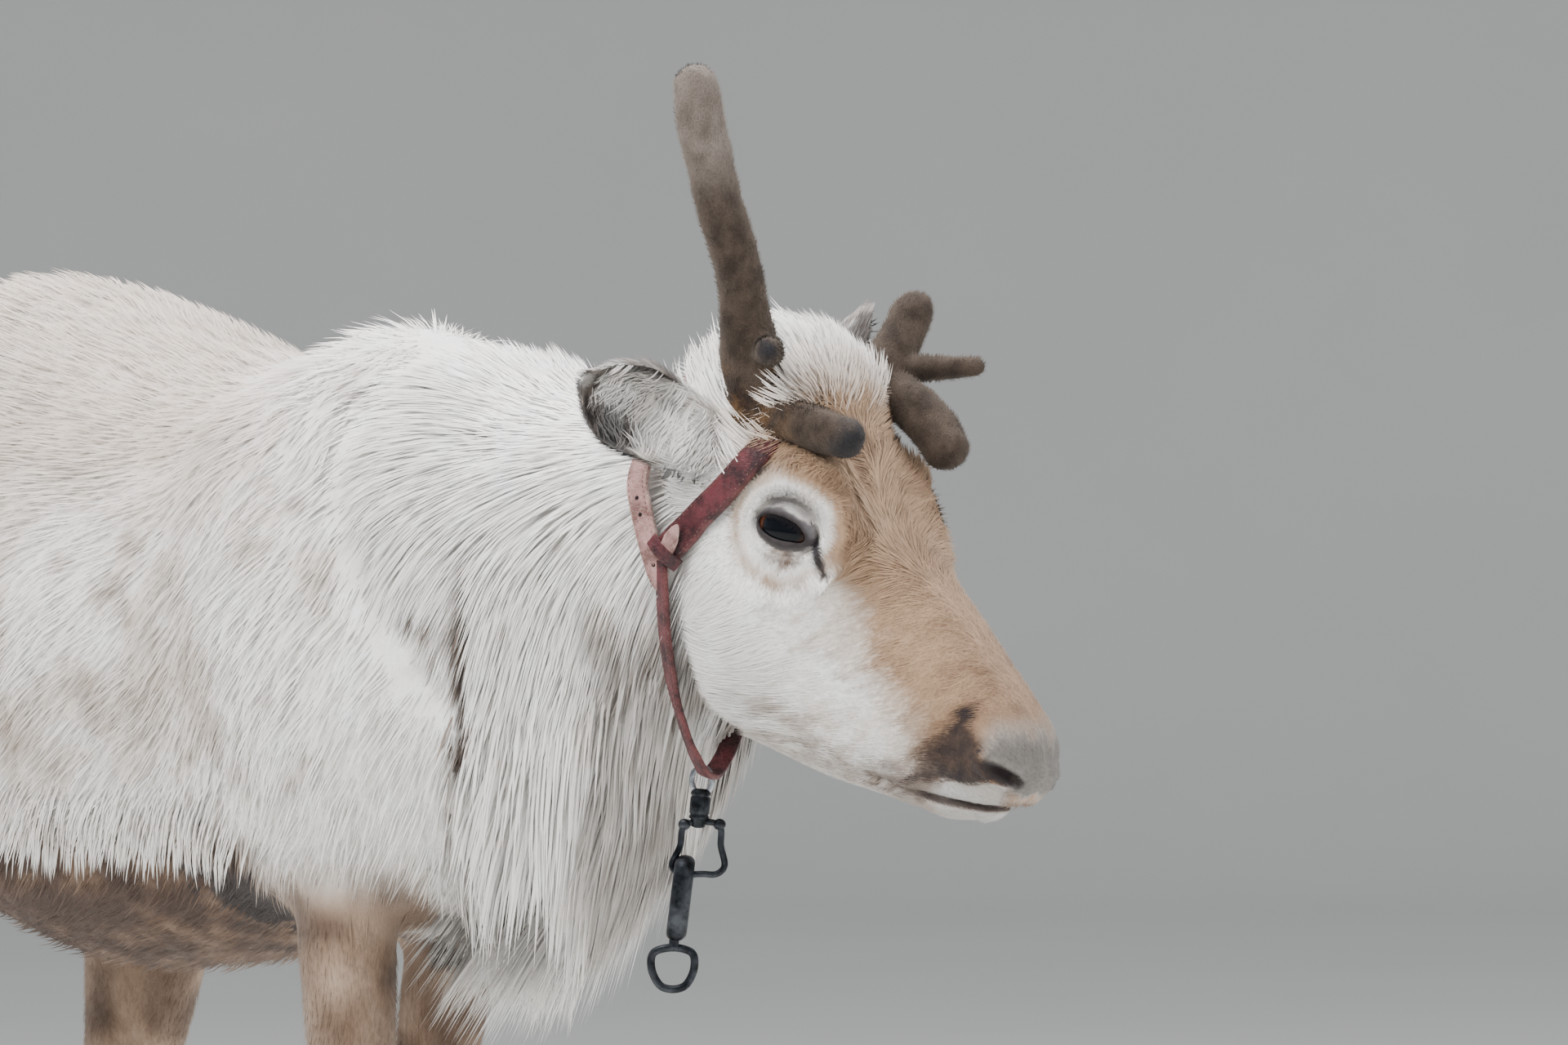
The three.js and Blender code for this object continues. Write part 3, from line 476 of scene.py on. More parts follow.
def hind_keys(leg):
    """Centre and half sizes down a hind leg: thigh, gaskin, hock, shank, fetlock, pastern."""
    y = leg["side"] * leg["out"]
    hock, thigh, foot = leg["foot"] - HOCK_BACK, leg["top"] - 28, leg["foot"]

    def between(a, b, share):
        return a + (b - a) * share

    return [
        [thigh, y, 730, 78, 116, 132],
        [thigh, y, 630, 70, 104, 116],
        [between(thigh, hock, 0.42), y, 535, 52, 70, 76],
        [between(thigh, hock, 0.75), y, 455, 44, 52, 50],
        [hock, y, HOCK, 33, 38, 36],
        [hock + 10, y, 355, 26, 29, 32],
        [between(hock, foot, 0.45), y, 250, 23, 25, 26],
        [between(hock, foot, 0.82), y, FETLOCK, 28, 28, 32],
        [foot, y, 62, 27, 27, 27],
        [foot + 8, y, 42, 29, 30, 28],
    ]


def leg_bumps(leg, hind):
    """The joints that stand out: the knee to the front, the point of the hock and the fetlock to the back."""
    y = leg["side"] * leg["out"]
    if hind:
        hock = [leg["foot"] - HOCK_BACK - 40, y, HOCK + 20]
        fetlock = [leg["foot"] - 34, y, FETLOCK]
        return [(hock, hock, 32, 13), (fetlock, fetlock, 24, 5)]
    knee = [leg["top"] + (leg["foot"] - leg["top"]) * 0.66 + 34, y, KNEE]
    fetlock = [leg["foot"] - 26, y, FETLOCK]
    return [(knee, knee, 30, 5), (fetlock, fetlock, 24, 5)]


def leg_shape(leg, hind):
    """A leg drawn in by its coat, which is deep above and short from the knee or hock down."""
    keys = hind_keys(leg) if hind else fore_keys(leg)
    depth = np.interp([k[2] for k in keys], [60, 380, 520, 640], [3.0, LEG_COAT, 6.0, TRUNK_COAT])
    return tube(shrunk(keys, depth), 120, 48, Y, domes=(20, 10), bumps=leg_bumps(leg, hind))


def tail_shape(depth):
    """The short tail, held down against the rump."""
    keys = [
        [RUMP_X + 50, 0, 975, 34, 26, 26],
        [RUMP_X + 2, 0, 945, 36, 24, 24],
        [RUMP_X - 18, 0, 900, 36, 20, 20],
        [RUMP_X - 20, 0, 858, 24, 14, 14],
    ]
    return tube(shrunk(keys, depth), 40, 32, Y, domes=(4, 12))


# The head


HEAD_KEYS = [
    [-138, 66, -48, 56],
    [-108, 81, -88, 66],
    [-72, 76, -118, 72],
    [-28, 57, -140, 75],
    [18, 38, -150, 76],
    [62, 35, -139, 68],
    [104, 32, -117, 60],
    [145, 27, -92, 52],
    [180, 22, -64, 45],
    [202, 15, -47, 37],
    [216, 4, -33, 27],
]
JAW_KEYS = [
    [48, -120, 24, 29, 30],
    [100, -103, 20, 24, 28],
    [140, -87, 17, 17, 29],
    [172, -71, 14, 15, 31],
    [192, -60, 11, 16, 29],
    [208, -48, 9, 13, 21],
]


def head_bumps():
    """Brow, cheekbone, jaw muscle, nostril wing and the antler's pedicle on each side, as (from, to, reach,
    rise)."""
    bumps = []
    for side in (-1, 1):
        bumps += [
            ([-22, side * 70, 20], [22, side * 68, 22], 34, 18),
            ([-12, side * 63, 38], [16, side * 61, 36], 22, 22),
            ([10, side * 72, -14], [60, side * 58, -36], 20, 4),
            ([-6, side * 70, -70], [30, side * 60, -84], 40, 7),
            ([72, side * 55, -8], [72, side * 55, -8], 30, -5),
            ([192, side * 37, -4], [208, side * 33, -18], 18, 5),
            ([-84, side * 44, 60], [-84, side * 44, 60], 26, 10),
        ]
    return [(in_head(a), in_head(b), reach, rise) for a, b, reach, rise in bumps]


def head_shape(depth, rings=190, sides=176):
    """The skull with its muzzle: sections square to the head's own forward axis."""
    keys = [
        [*in_head([x, 0, (top + bottom) / 2]), half, (top - bottom) / 2, (top - bottom) / 2]
        for x, top, bottom, half in HEAD_KEYS
    ]
    return tube(
        shrunk(keys, depth),
        rings,
        sides,
        headward([0, 1, 0]),
        along=headward([1, 0, 0]),
        square=2.25,
        domes=(22 - depth, 10 - depth),
        bumps=head_bumps(),
    )


def jaw_shape(depth, rings=90, sides=84):
    """The lower jaw: sections square to the head's own forward axis, deepest at the chin."""
    keys = [[*in_head([x, 0, z]), half, up, down] for x, z, up, down, half in JAW_KEYS]
    return tube(
        shrunk(keys, depth),
        rings,
        sides,
        headward([0, 1, 0]),
        along=headward([1, 0, 0]),
        square=2.3,
        domes=(12, 6),
    )


def tree_of(shapes):
    """A search tree over shapes in millimetres, for rays that lay things on them."""
    points, faces = joined(shapes)
    listed = [tuple(face) for kind in faces for face in kind.tolist()]
    return BVHTree.FromPolygons([tuple(p) for p in points.tolist()], listed)


# The coat: closed three-sided tufts that leave the skin, lie along it and taper to a tip


def evenly(points):
    """The same density everywhere."""
    return np.ones(len(points))


def scattered(mesh, count, density, draw):
    """Roots over a mesh: equal steps along the running total of each triangle's area times the density at
    its middle, with a random share of a step, each at a random place in its triangle. Returns points and
    normals."""
    mesh.calc_loop_triangles()
    corners = np.empty(len(mesh.loop_triangles) * 3, np.int32)
    mesh.loop_triangles.foreach_get("vertices", corners)
    corners = corners.reshape(-1, 3)
    points, normals = read_points(mesh), read_normals(mesh)
    a, b, c = points[corners[:, 0]], points[corners[:, 1]], points[corners[:, 2]]
    middle = (a + b + c) / 3
    area = 0.5 * np.linalg.norm(np.cross(b - a, c - a), axis=1)
    order = np.argsort(np.round(middle[:, 0] / 25.0) * 10000 + middle[:, 2])
    total = np.cumsum((area * density(middle))[order])
    steps = (np.arange(count) + draw.random(count)) / count * total[-1]
    chosen = order[np.minimum(np.searchsorted(total, steps), len(order) - 1)]
    u, v = draw.random(count), draw.random(count)
    over = u + v > 1
    u[over], v[over] = 1 - u[over], 1 - v[over]
    share = np.stack([1 - u - v, u, v], axis=-1)[..., None]
    return (points[corners[chosen]] * share).sum(1), unit((normals[corners[chosen]] * share).sum(1))


def ruffled(roots, normals, lie, broad, fine, seed):
    """The lie with a slow and a quick noise added, laid into the skin and made one long: it gathers hair
    into locks."""
    stir = np.stack([noise(roots, 55.0, seed + i) for i in range(3)], axis=-1) * broad
    stir += np.stack([noise(roots, 15.0, seed + 5 + i) for i in range(3)], axis=-1) * fine
    lie = lie + stir
    return unit(lie - normals * (lie * normals).sum(1, keepdims=True))


def tuft_mesh(name, roots, normals, lie, length, width, rise, draw, bend=0.0, rings=2, flat=0.5, sink=1.5):
    """Spikes whose middle line is root + length x (s x (lie cos rise + normal sin rise) - s2 x normal sin
    rise / 2 + s2 x bend): they leave the skin at rise and end level with it. Their three-sided rings shrink
    to a point."""
    count = len(roots)
    rise = np.asarray(rise).reshape(-1, 1)
    length = np.asarray(length, float).reshape(-1, 1)
    width = np.asarray(width, float).reshape(-1, 1)
    steps = np.linspace(0.0, 1.0, rings + 1)
    girth = np.interp(steps, [0, 0.35, 0.75, 1], [0.85, 1.0, 0.62, 0.0])
    up = normals * np.sin(rise)
    start = lie * np.cos(rise) + up
    late = -0.5 * up + bend
    angle = np.radians([90.0, 210.0, 330.0])
    points = np.empty((count, rings * 3 + 1, 3))
    shading = np.empty_like(points)
    for i, s in enumerate(steps):
        line = roots - normals * sink * (1 - s) + length * (s * start + s * s * late)
        tangent = unit(start + 2 * s * late)
        side = unit(np.cross(normals, tangent))
        top = np.cross(tangent, side)
        if i == rings:
            points[:, -1] = line
            shading[:, -1] = normals
            break
        for j, turn in enumerate(angle):
            radial = side * math.cos(turn) + top * math.sin(turn)
            spread = side * math.cos(turn) + top * math.sin(turn) * flat
            points[:, i * 3 + j] = line + spread * width * 0.5 * girth[i]
            shading[:, i * 3 + j] = radial
    shading = unit(normals[:, None, :] * HAIR_LEAN + unit(shading) * (1 - HAIR_LEAN))
    each = rings * 3 + 1
    sides = [(j, (j + 1) % 3) for j in range(3)]
    quads = [[i + j, i + k, i + 3 + k, i + 3 + j] for i in range(0, each - 4, 3) for j, k in sides]
    ends = [[each - 4 + j, each - 4 + k, each - 1] for j, k in sides] + [[2, 1, 0]]
    start_at = (np.arange(count) * each)[:, None, None]
    faces = [(start_at + np.array(kind)[None]).reshape(-1, len(kind[0])) for kind in (quads, ends) if kind]
    mesh = mesh_of(name, points.reshape(-1, 3), faces)
    mesh.normals_split_custom_set_from_vertices(shading.reshape(-1, 3).tolist())
    along = np.append(np.repeat(steps[:-1], 3), 1.0)
    set_attribute(mesh, "along", "FLOAT", np.tile(along, count))
    set_attribute(mesh, "strand", "FLOAT", np.repeat(draw.random(count), each))
    return mesh, each, along


def tuft_uv(mesh, unwrap, each, along):
    """The map OFBake: each tuft is a small patch at its root's place on the skin's unwrap."""
    around = np.append(np.tile([0.0, 0.5, 1.0], (each - 1) // 3), 0.5)
    patch = np.stack([around - 0.5, along - 0.5], axis=-1) * UV_PATCH
    set_uv(mesh, "OFBake", (unwrap[:, None, :] + patch[None]).reshape(-1, 2))


def wrapped(points, axis_from, axis_to, low, high):
    """An unwrap round a straight axis: the share of the way from low to high, and the angle about it."""
    axis_from, axis_to = np.asarray(axis_from, float), np.asarray(axis_to, float)
    ahead = unit(axis_to - axis_from)
    side = unit(np.cross(ahead, Z) + 1e-6 * Y)
    up = np.cross(side, ahead)
    away = points - axis_from
    u = (away @ ahead) / np.linalg.norm(axis_to - axis_from)
    v = np.arctan2(away @ side, away @ up) / (2 * np.pi) + 0.5
    low, high = np.asarray(low), np.asarray(high)
    return low + (high - low) * np.stack([np.clip(u, 0, 1), v], axis=-1)


def coat(name, slot, roots, normals, lie, length, width, rise, looks, unwrap, draw, bend=0.0, **shape):
    """Tufts as pieces of few enough triangles, with the skin's markings and the map OFBake. Width, rise in
    radians and bend are one for all tufts or one each; looks is (marks, grey)."""
    triangles = (shape.get("rings", 2) - 1) * 6 + 4
    parts = max(1, math.ceil(len(roots) * triangles / MOST_TRIANGLES))
    width, rise = (np.broadcast_to(value, len(roots)) for value in (width, rise))
    bend = np.broadcast_to(bend, roots.shape)
    marks, grey = looks
    for number, chosen in enumerate(np.array_split(np.argsort(roots[:, 0]), parts)):
        label = name + "_" + str(number + 1)
        own = [rows[chosen] for rows in (roots, normals, lie, length, width, rise)]
        mesh, each, along = tuft_mesh(label, *own, draw, bend=bend[chosen], **shape)
        set_marks(mesh, np.repeat(marks[chosen], each, axis=0), np.repeat(grey[chosen], each))
        tuft_uv(mesh, unwrap[chosen], each, along)
        piece(label, mesh, hair_of("tuft"), slot)


def varied(draw, count, least=0.7, spread=0.6):
    """A random share for each of count tufts, from least up to least and spread."""
    return least + spread * draw.random(count)


def sown(grid, count, draw, weight=None):
    """Roots over a grid of rings: equal steps along the running total of each cell's area times its weight,
    each at a random place in its cell. Returns points, normals, and each root's share of the way along and
    around."""
    beside = np.roll(grid, -1, axis=1)
    a, b, c, d = grid[:-1], beside[:-1], beside[1:], grid[1:]
    area = 0.5 * np.linalg.norm(np.cross(c - a, d - b), axis=-1)
    if weight is not None:
        area = area * weight(((a + b + c + d) / 4).reshape(-1, 3)).reshape(area.shape)
    total = np.cumsum(area.ravel())
    steps = (np.arange(count) + draw.random(count)) / count * total[-1]
    i, j = np.divmod(np.minimum(np.searchsorted(total, steps), area.size - 1), grid.shape[1])
    u, v = draw.random(count)[:, None], draw.random(count)[:, None]
    a, b, c, d = a[i, j], b[i, j], c[i, j], d[i, j]
    points = a * (1 - u) * (1 - v) + b * (1 - u) * v + c * u * v + d * u * (1 - v)
    normals = unit(np.cross(b - a + c - d, d - a + c - b))
    return points, normals, (i + u[:, 0]) / (len(grid) - 1), (j + v[:, 0]) / grid.shape[1]


def set_marks(mesh, marks, grey):
    """The markings' shares: tan, brown and dark as one colour attribute, and grey beside it."""
    rgba = np.concatenate([marks, np.ones((len(marks), 1))], axis=1)
    set_attribute(mesh, "marks", "FLOAT_COLOR", rgba)
    set_attribute(mesh, "grey", "FLOAT", grey)


# Markings


def spot(points, centre, radii, ragged=0.25, seed=11):
    """1 inside an ellipsoid and 0 outside, over a soft ragged edge."""
    away = np.linalg.norm((points - np.asarray(centre, float)) / np.asarray(radii, float), axis=1)
    away = away + ragged * noise(points, 14.0, seed) + 0.5 * ragged * noise(points, 5.0, seed + 1)
    return smoothstep(1.2, 0.7, away)


def clipped_looks(tan, brown, dark, grey):
    """The markings as (marks, grey), each share held within 0 and 1."""
    return np.clip(np.stack([tan, brown, dark], -1), 0, 1), np.clip(grey, 0, 1)


def legness(points):
    """How much each point belongs to a leg, 0 to 1: by height, and by its distance from the leg's middle
    line."""
    best = np.zeros(len(points))
    for legs, keys_of in ((FORE_LEGS, fore_keys), (HIND_LEGS, hind_keys)):
        for leg in legs.values():
            keys = np.array(keys_of(leg))[::-1]
            x, wide, deep = (np.interp(points[:, 2], keys[:, 2], keys[:, i]) for i in (0, 3, 4))
            away = np.hypot((points[:, 0] - x) / deep, (points[:, 1] - leg["side"] * leg["out"]) / wide)
            top = 640 if legs is FORE_LEGS else 600
            best = np.maximum(best, smoothstep(1.7, 1.3, away) * smoothstep(top, top - 60, points[:, 2]))
    return best


def body_marks(points):
    """White, with a tan back behind the withers, a brown belly with near-black painted shade in the pocket
    behind each elbow, brown painted shade under the front of the chest, mottled brown legs, and brown
    speckles where the neck meets the shoulder and under the throat."""
    x, y, z = points.T
    across = PHOTO_RIGHT[0] * x - PHOTO_RIGHT[1] * np.abs(y)  # along the picture's width, alike on both flanks
    slow, quick, fleck = noise(points, 120, 3), noise(points, 36, 5), noise(points * [1, 1, 0.45], 9, 8)
    streak = noise(points * [0.5, 1, 0.8] + np.outer(z, [0.35, 0, 0]), 11, 9)
    leg = legness(points)
    back = smoothstep(790, 960, z + 40 * slow + 16 * quick + 8 * streak)
    tan = 0.6 * back * smoothstep(-70, -190, across + 30 * slow)
    flank = smoothstep(40, -160, across) * smoothstep(640, 700, z)
    tan = np.maximum(tan, 0.5 * flank * smoothstep(-0.2, 0.9, slow + 0.5 * quick + 0.3 * streak))
    brown = 0.3 * flank * smoothstep(0.15, 0.9, streak + 0.4 * quick)
    under = smoothstep(646, 628, z + 9 * quick + 4 * fleck) * smoothstep(-20, -90, x)
    tan = np.maximum(tan, 0.9 * under)
    brown = np.maximum(brown, under * (0.95 + 0.25 * quick + 0.25 * fleck) * (1 - leg))
    low_flank = smoothstep(690, 640, z + 20 * slow) * smoothstep(0, -80, x)
    tan = np.maximum(tan, 0.6 * low_flank * smoothstep(0.0, 0.7, quick))
    brown = np.maximum(brown, leg * np.clip(0.6 + 0.4 * quick + 0.25 * slow + 0.25 * fleck, 0, 1))
    tan = np.maximum(tan, leg * 0.9)
    # near black in the pocket behind each elbow: painted shade
    dark = 0.95 * spot(np.stack([x, np.abs(y), z], -1), [-118, 130, 588], [64, 90, 60], 0.5)
    dark = np.maximum(dark, 0.62 * under * smoothstep(-0.7, 0.7, quick + 0.4 * fleck) * (1 - leg))
    dark = np.maximum(dark, 0.45 * leg * smoothstep(0.4, 0.95, quick - slow))
    throat = smoothstep(1.3, 0.6, np.hypot((across - 144) / 44, (z - 752) / 62) + 0.4 * quick + 0.25 * fleck)
    up_strap = smoothstep(1.2, 0.5, np.hypot((across - 150) / 20, (z - 785) / 60) + 0.3 * quick) * 0.6
    throat = np.maximum(throat, up_strap) * smoothstep(150, 230, x)
    low = -38 + (796 - z) / 119 * 44  # the patch before the shoulder narrows downwards
    patch = smoothstep(-6, 6, across - low + 9 * fleck) * smoothstep(14, 6, across + 3 * quick)
    patch = patch * smoothstep(806, 792, z + 6 * fleck) * smoothstep(668, 690, z) * (x > 60)
    line = smoothstep(5.5, 1.5, np.abs(across - 8 + 4 * quick)) * (x > 60)
    line = line * smoothstep(670, 700, z) * smoothstep(880, 790, z)
    speckle = smoothstep(-0.25, 0.5, streak + 0.6 * fleck)
    brown = np.maximum(brown, np.maximum(0.9 * throat * (0.7 + 0.5 * fleck), 0.95 * patch * speckle))
    brown = np.maximum(brown, 0.9 * line)
    dark = np.maximum(dark, 0.3 * throat * smoothstep(0.0, 0.6, quick + fleck))
    dark = np.maximum(dark, 0.7 * patch * smoothstep(0.1, 0.6, streak))
    dark = np.maximum(dark, 0.7 * line * smoothstep(850, 760, z))
    for side in (-1, 1):
        shoulder = spot(points, [70, side * 118, 578], [26, 40, 32], 0.4, 41)
        brown, tan, dark = (m * (1 - 0.85 * shoulder) for m in (brown, tan, dark))
    # brown under the front of the chest, between the forelegs: painted shade
    chest = spot(points, [120, 0, 590], [60, 60, 50], 0.4, 51)
    brown = np.maximum(brown, 0.55 * chest * (y * y < 6400))
    return clipped_looks(tan, brown, dark, 0.6 * leg * (0.3 + 0.5 * slow) + 0.3 * throat)


def head_marks(points):
    """Tan forehead and bridge with darker streaks and a parting, white cheeks and eye ring, dark lids and
    tear duct, brown painted shade in the fold behind the eye, dark behind the nostrils and painted shade
    in them, grey at the tip of the muzzle, a pale upper lip and painted shade along the mouth's line."""
    h = to_head(points)
    x, y, z = h.T
    off = np.abs(y)
    slow, quick = noise(h, 34, 61), noise(h, 11, 62)
    streak = noise(h * [1.0, 0.32, 0.4], 4.2, 63) + 0.5 * noise(h * [1.0, 0.3, 0.4], 2.2, 64)
    edge = z + 6 + 0.282 * (x - 36) + 12 * slow + 6 * quick + 5 * streak
    tan = smoothstep(-30, 22, edge) * smoothstep(-104, -52, x + 14 * slow)
    tan = np.maximum(tan, 0.62 * smoothstep(60, 190, x + 16 * slow + 8 * streak + 0.5 * z))
    tan = np.maximum(tan, 0.5 * smoothstep(-0.2, 0.9, slow + 0.7 * streak) * smoothstep(-40, 60, x))
    along, up = eye_offsets(h)
    side = smoothstep(40, 52, off)
    ring = np.hypot(along / 37.0, up / 35.0) + 0.05 * quick
    tan = tan * (1 - 0.92 * smoothstep(1.0, 0.82, ring) * side)
    rim = side * hump(ring, 1.04, 0.15)
    tan = np.maximum(tan, 0.95 * rim * (0.75 + 0.3 * streak))
    bridge = smoothstep(44, 14, off) * smoothstep(10, 70, x) * smoothstep(228, 200, x)
    brown = (0.5 + 0.25 * smoothstep(90, 150, x)) * bridge * (0.8 + 0.4 * slow)
    brown = brown + 0.4 * smoothstep(0.0, 0.9, streak) * tan
    parting = smoothstep(38, 4, off + 8 * quick) * smoothstep(-80, -40, x) * smoothstep(110, 30, x)
    brown = np.maximum(brown, parting * smoothstep(-0.2, 0.7, streak) * 0.9)
    brown = np.maximum(brown, 0.65 * smoothstep(146, 182, x + 5 * streak) * smoothstep(-10, 8, z + 4 * quick))
    # brown along the fold behind and above the eye: painted shade
    orbit_fold_shade = side * hump(ring, 1.2, 0.1) * smoothstep(-22, 0, along) * smoothstep(-26, 4, up)
    brown = np.maximum(brown, 0.75 * orbit_fold_shade * (0.8 + 0.4 * streak))
    below = side * smoothstep(1.2, 0.5, np.hypot((along - 6) / 22, (up + 21) / 10) + 0.3 * quick)
    brown = np.maximum(brown, np.maximum(0.8 * below * (0.7 + 0.5 * streak), 0.22 * rim))
    lower_cheek = smoothstep(-60, -100, z + 10 * slow) * smoothstep(20, 80, x)
    brown = np.maximum(brown, 0.45 * lower_cheek * smoothstep(-0.2, 0.9, streak + slow))
    mirrored = np.stack([x, z], -1)
    above = 4 - 0.43 * (x - 163) - z
    lip = z + 69 - 0.94 * (x - 160)
    inside = np.minimum(np.minimum(0.92 * above, 0.73 * lip), x - 163 + 3 * smoothstep(-60, -68, z))
    beside = smoothstep(10, 20, off)
    dark = (0.86 + 0.16 * streak) * smoothstep(-5, 4, inside + 3.5 * quick + 3.5 * streak) * beside
    brown = np.maximum(brown, 0.75 * smoothstep(-20, 2, inside + 5 * streak) * beside)
    beneath = smoothstep(202, 212, x) * smoothstep(-22, -30, z)
    brown, tan = np.maximum(brown, 0.97 * beneath), tan * (1 - 0.6 * beneath)
    # near black in each nostril: painted shade inside the opening
    pit = np.hypot((x - NOSTRIL[0]) / 11.5, (z - NOSTRIL[1] - 0.1 * (x - NOSTRIL[0])) / 5.4)
    dark = np.maximum(dark, 0.97 * smoothstep(1.35, 1.0, pit) * smoothstep(16, 24, off))
    # the dark line along the closed mouth: painted shade in the crease between the lips
    mouth = smoothstep(5.5, 1.5, np.abs(z - lip_line(x) + 0.5)) * smoothstep(160, 178, x)
    dark = np.maximum(dark, 0.9 * mouth)
    pale_lip = smoothstep(1.5, -1.5, lip + 2 * quick) * smoothstep(lip_line(x) + 0.5, lip_line(x) + 3.5, z)
    pale_lip = pale_lip * smoothstep(172, 186, x) * smoothstep(222, 215, x)
    lower_lip = smoothstep(lip_line(x) - 3, lip_line(x) - 6, z) * smoothstep(178, 190, x)
    lower_lip = lower_lip * smoothstep(-76, -70, z + 3 * quick)
    corner = spot(np.stack([x, off, z], -1), [152, 34, -76], [24, 30, 13], 0.4, 73)
    dark = np.maximum(dark, 0.5 * corner * (0.7 + 0.5 * streak))
    lid = np.hypot(along / 23.5, np.where(up > 0, up / 13.0, up / 12.5))
    dark = np.maximum(dark, 0.92 * smoothstep(1.2, 0.98, lid + 0.08 * quick + 0.06 * streak) * side)
    arch = hump(np.hypot((along - 1) / 20, up / 19.5), 1, 0.3) * smoothstep(8, 13, up)
    dark = np.maximum(dark, 0.95 * arch * side * (0.8 + 0.3 * quick))
    under_lid = hump(np.hypot(along / 24, up / 15), 1, 0.16) * smoothstep(-5, -11, up)
    dark = np.maximum(dark, 0.6 * under_lid * side * smoothstep(-0.5, 0.5, streak + quick))
    duct = segment_distance(mirrored, *DUCT)
    duct = np.minimum(duct, segment_distance(mirrored, [6.0, 8.5], DUCT[0]) - 0.8)
    dark = np.maximum(dark, 0.97 * smoothstep(4.4, 2.2, duct) * side)
    tear = smoothstep(9, 4, np.hypot(x - 32, (z + 9) * 0.9) + 1.5 * quick) * side * smoothstep(1.8, 3.0, duct)
    chin = smoothstep(180, 190, x) * smoothstep(-70, -74, z) * smoothstep(0.0, 0.5, noise(h, 3.0, 74))
    dark = np.maximum(dark, 0.8 * chin)
    tip = smoothstep(2, -5, above + 3 * quick) * smoothstep(176, 200, x + 5 * quick)
    tip = tip * smoothstep(24, 6, z + 5 * quick)
    grey = np.maximum(0.85 * tip, 0.5 * np.maximum(lower_lip, pale_lip))
    clear = (1 - 0.9 * pale_lip) * (1 - 0.9 * tear) * (1 - 0.85 * lower_lip)
    tan, brown = tan * clear * (1 - 0.75 * tip), brown * clear * (1 - 0.5 * tip)
    dark = dark * (1 - 0.88 * pale_lip) * (1 - tear) * (1 - 0.8 * lower_lip)
    return clipped_looks(tan, brown, dark, grey)


# Materials


def hex_linear(text):
    """An sRGB hex colour as linear red, green and blue."""
    values = [int(text[i : i + 2], 16) / 255.0 for i in (0, 2, 4)]
    return [v / 12.92 if v <= 0.04045 else ((v + 0.055) / 1.055) ** 2.4 for v in values]


def add_node(tree, kind, settings=None, inputs=None):
    """Adds one node. settings are its own properties; inputs are socket values, or outputs of other nodes
    to link."""
    node = tree.nodes.new(kind)
    for name, value in (settings or {}).items():
        setattr(node, name, value)
    for name, value in (inputs or {}).items():
        socket = node.inputs[name]
        if isinstance(value, bpy.types.NodeSocket):
            tree.links.new(value, socket)
        else:
            socket.default_value = value
    return node


def new_material(name, constants):
    """An empty material with its shader, whose constant sockets are given, and its output. Returns
    material, tree and shader."""
    material = bpy.data.materials.new(name)
    material.use_nodes = True
    tree = material.node_tree
    tree.nodes.clear()
    shader = add_node(tree, "ShaderNodeBsdfPrincipled", inputs=constants)
    add_node(tree, "ShaderNodeOutputMaterial", inputs={"Surface": shader.outputs[0]})
    return material, tree, shader


def mixed(tree, share, first, second, blend="MIX"):
    """The colour that is first where share is 0 and second where it is 1."""
    node = add_node(tree, "ShaderNodeMix", {"data_type": "RGBA", "blend_type": blend})
    for index, value in ((0, share), (6, first), (7, second)):
        socket = node.inputs[index]
        if isinstance(value, bpy.types.NodeSocket):
            tree.links.new(value, socket)
        elif index == 0:
            socket.default_value = value
        else:
            socket.default_value = [*value, 1.0][:4]
    return node.outputs[2]


def stored(tree, name, output="Fac"):
    """What a mesh stores per vertex under that name."""
    return add_node(tree, "ShaderNodeAttribute", {"attribute_name": name}).outputs[output]


def painted(tree, shader, colour):
    """Links a colour to the shader."""
    tree.links.new(colour, shader.inputs["Base Color"])


def darkened(tree, colour, tone):
    """A colour times a tone."""
    grey_tone = add_node(tree, "ShaderNodeCombineColor", inputs={0: tone, 1: tone, 2: tone}).outputs[0]
    return mixed(tree, 1.0, colour, grey_tone, "MULTIPLY")


def figured(tree, operation, *values):
    """The output of one Math node."""
    return add_node(tree, "ShaderNodeMath", {"operation": operation}, dict(enumerate(values))).outputs[0]


def ranged(tree, value, low, high, to_low=0.0, to_high=1.0):
    """value stretched from low..high to to_low..to_high, and held there."""
    inputs = {"Value": value, "From Min": low, "From Max": high, "To Min": to_low, "To Max": to_high}
    return add_node(tree, "ShaderNodeMapRange", inputs=inputs).outputs[0]


def place_mm(tree, stretch=(1.0, 1.0, 1.0)):
    """Object coordinates in millimetres, stretched along each axis."""
    at = add_node(tree, "ShaderNodeTexCoord").outputs["Object"]
    scale = [1000.0 * s for s in stretch]
    return add_node(tree, "ShaderNodeMapping", inputs={"Vector": at, "Scale": scale}).outputs[0]


def grains(tree, size, stretch=(1.0, 1.0, 1.0), detail=3.0):
    """Noise from 0 to 1 whose grains are about size millimetres across."""
    inputs = {"Vector": place_mm(tree, stretch), "Scale": 1.0 / size, "Detail": detail, "Roughness": 0.6}
    return add_node(tree, "ShaderNodeTexNoise", inputs=inputs).outputs[0]


def bumped(tree, shader, height, distance, strength):
    """Bump in metres into the shader's normal."""
    inputs = {"Height": height, "Distance": distance, "Strength": strength}
    tree.links.new(add_node(tree, "ShaderNodeBump", inputs=inputs).outputs[0], shader.inputs["Normal"])


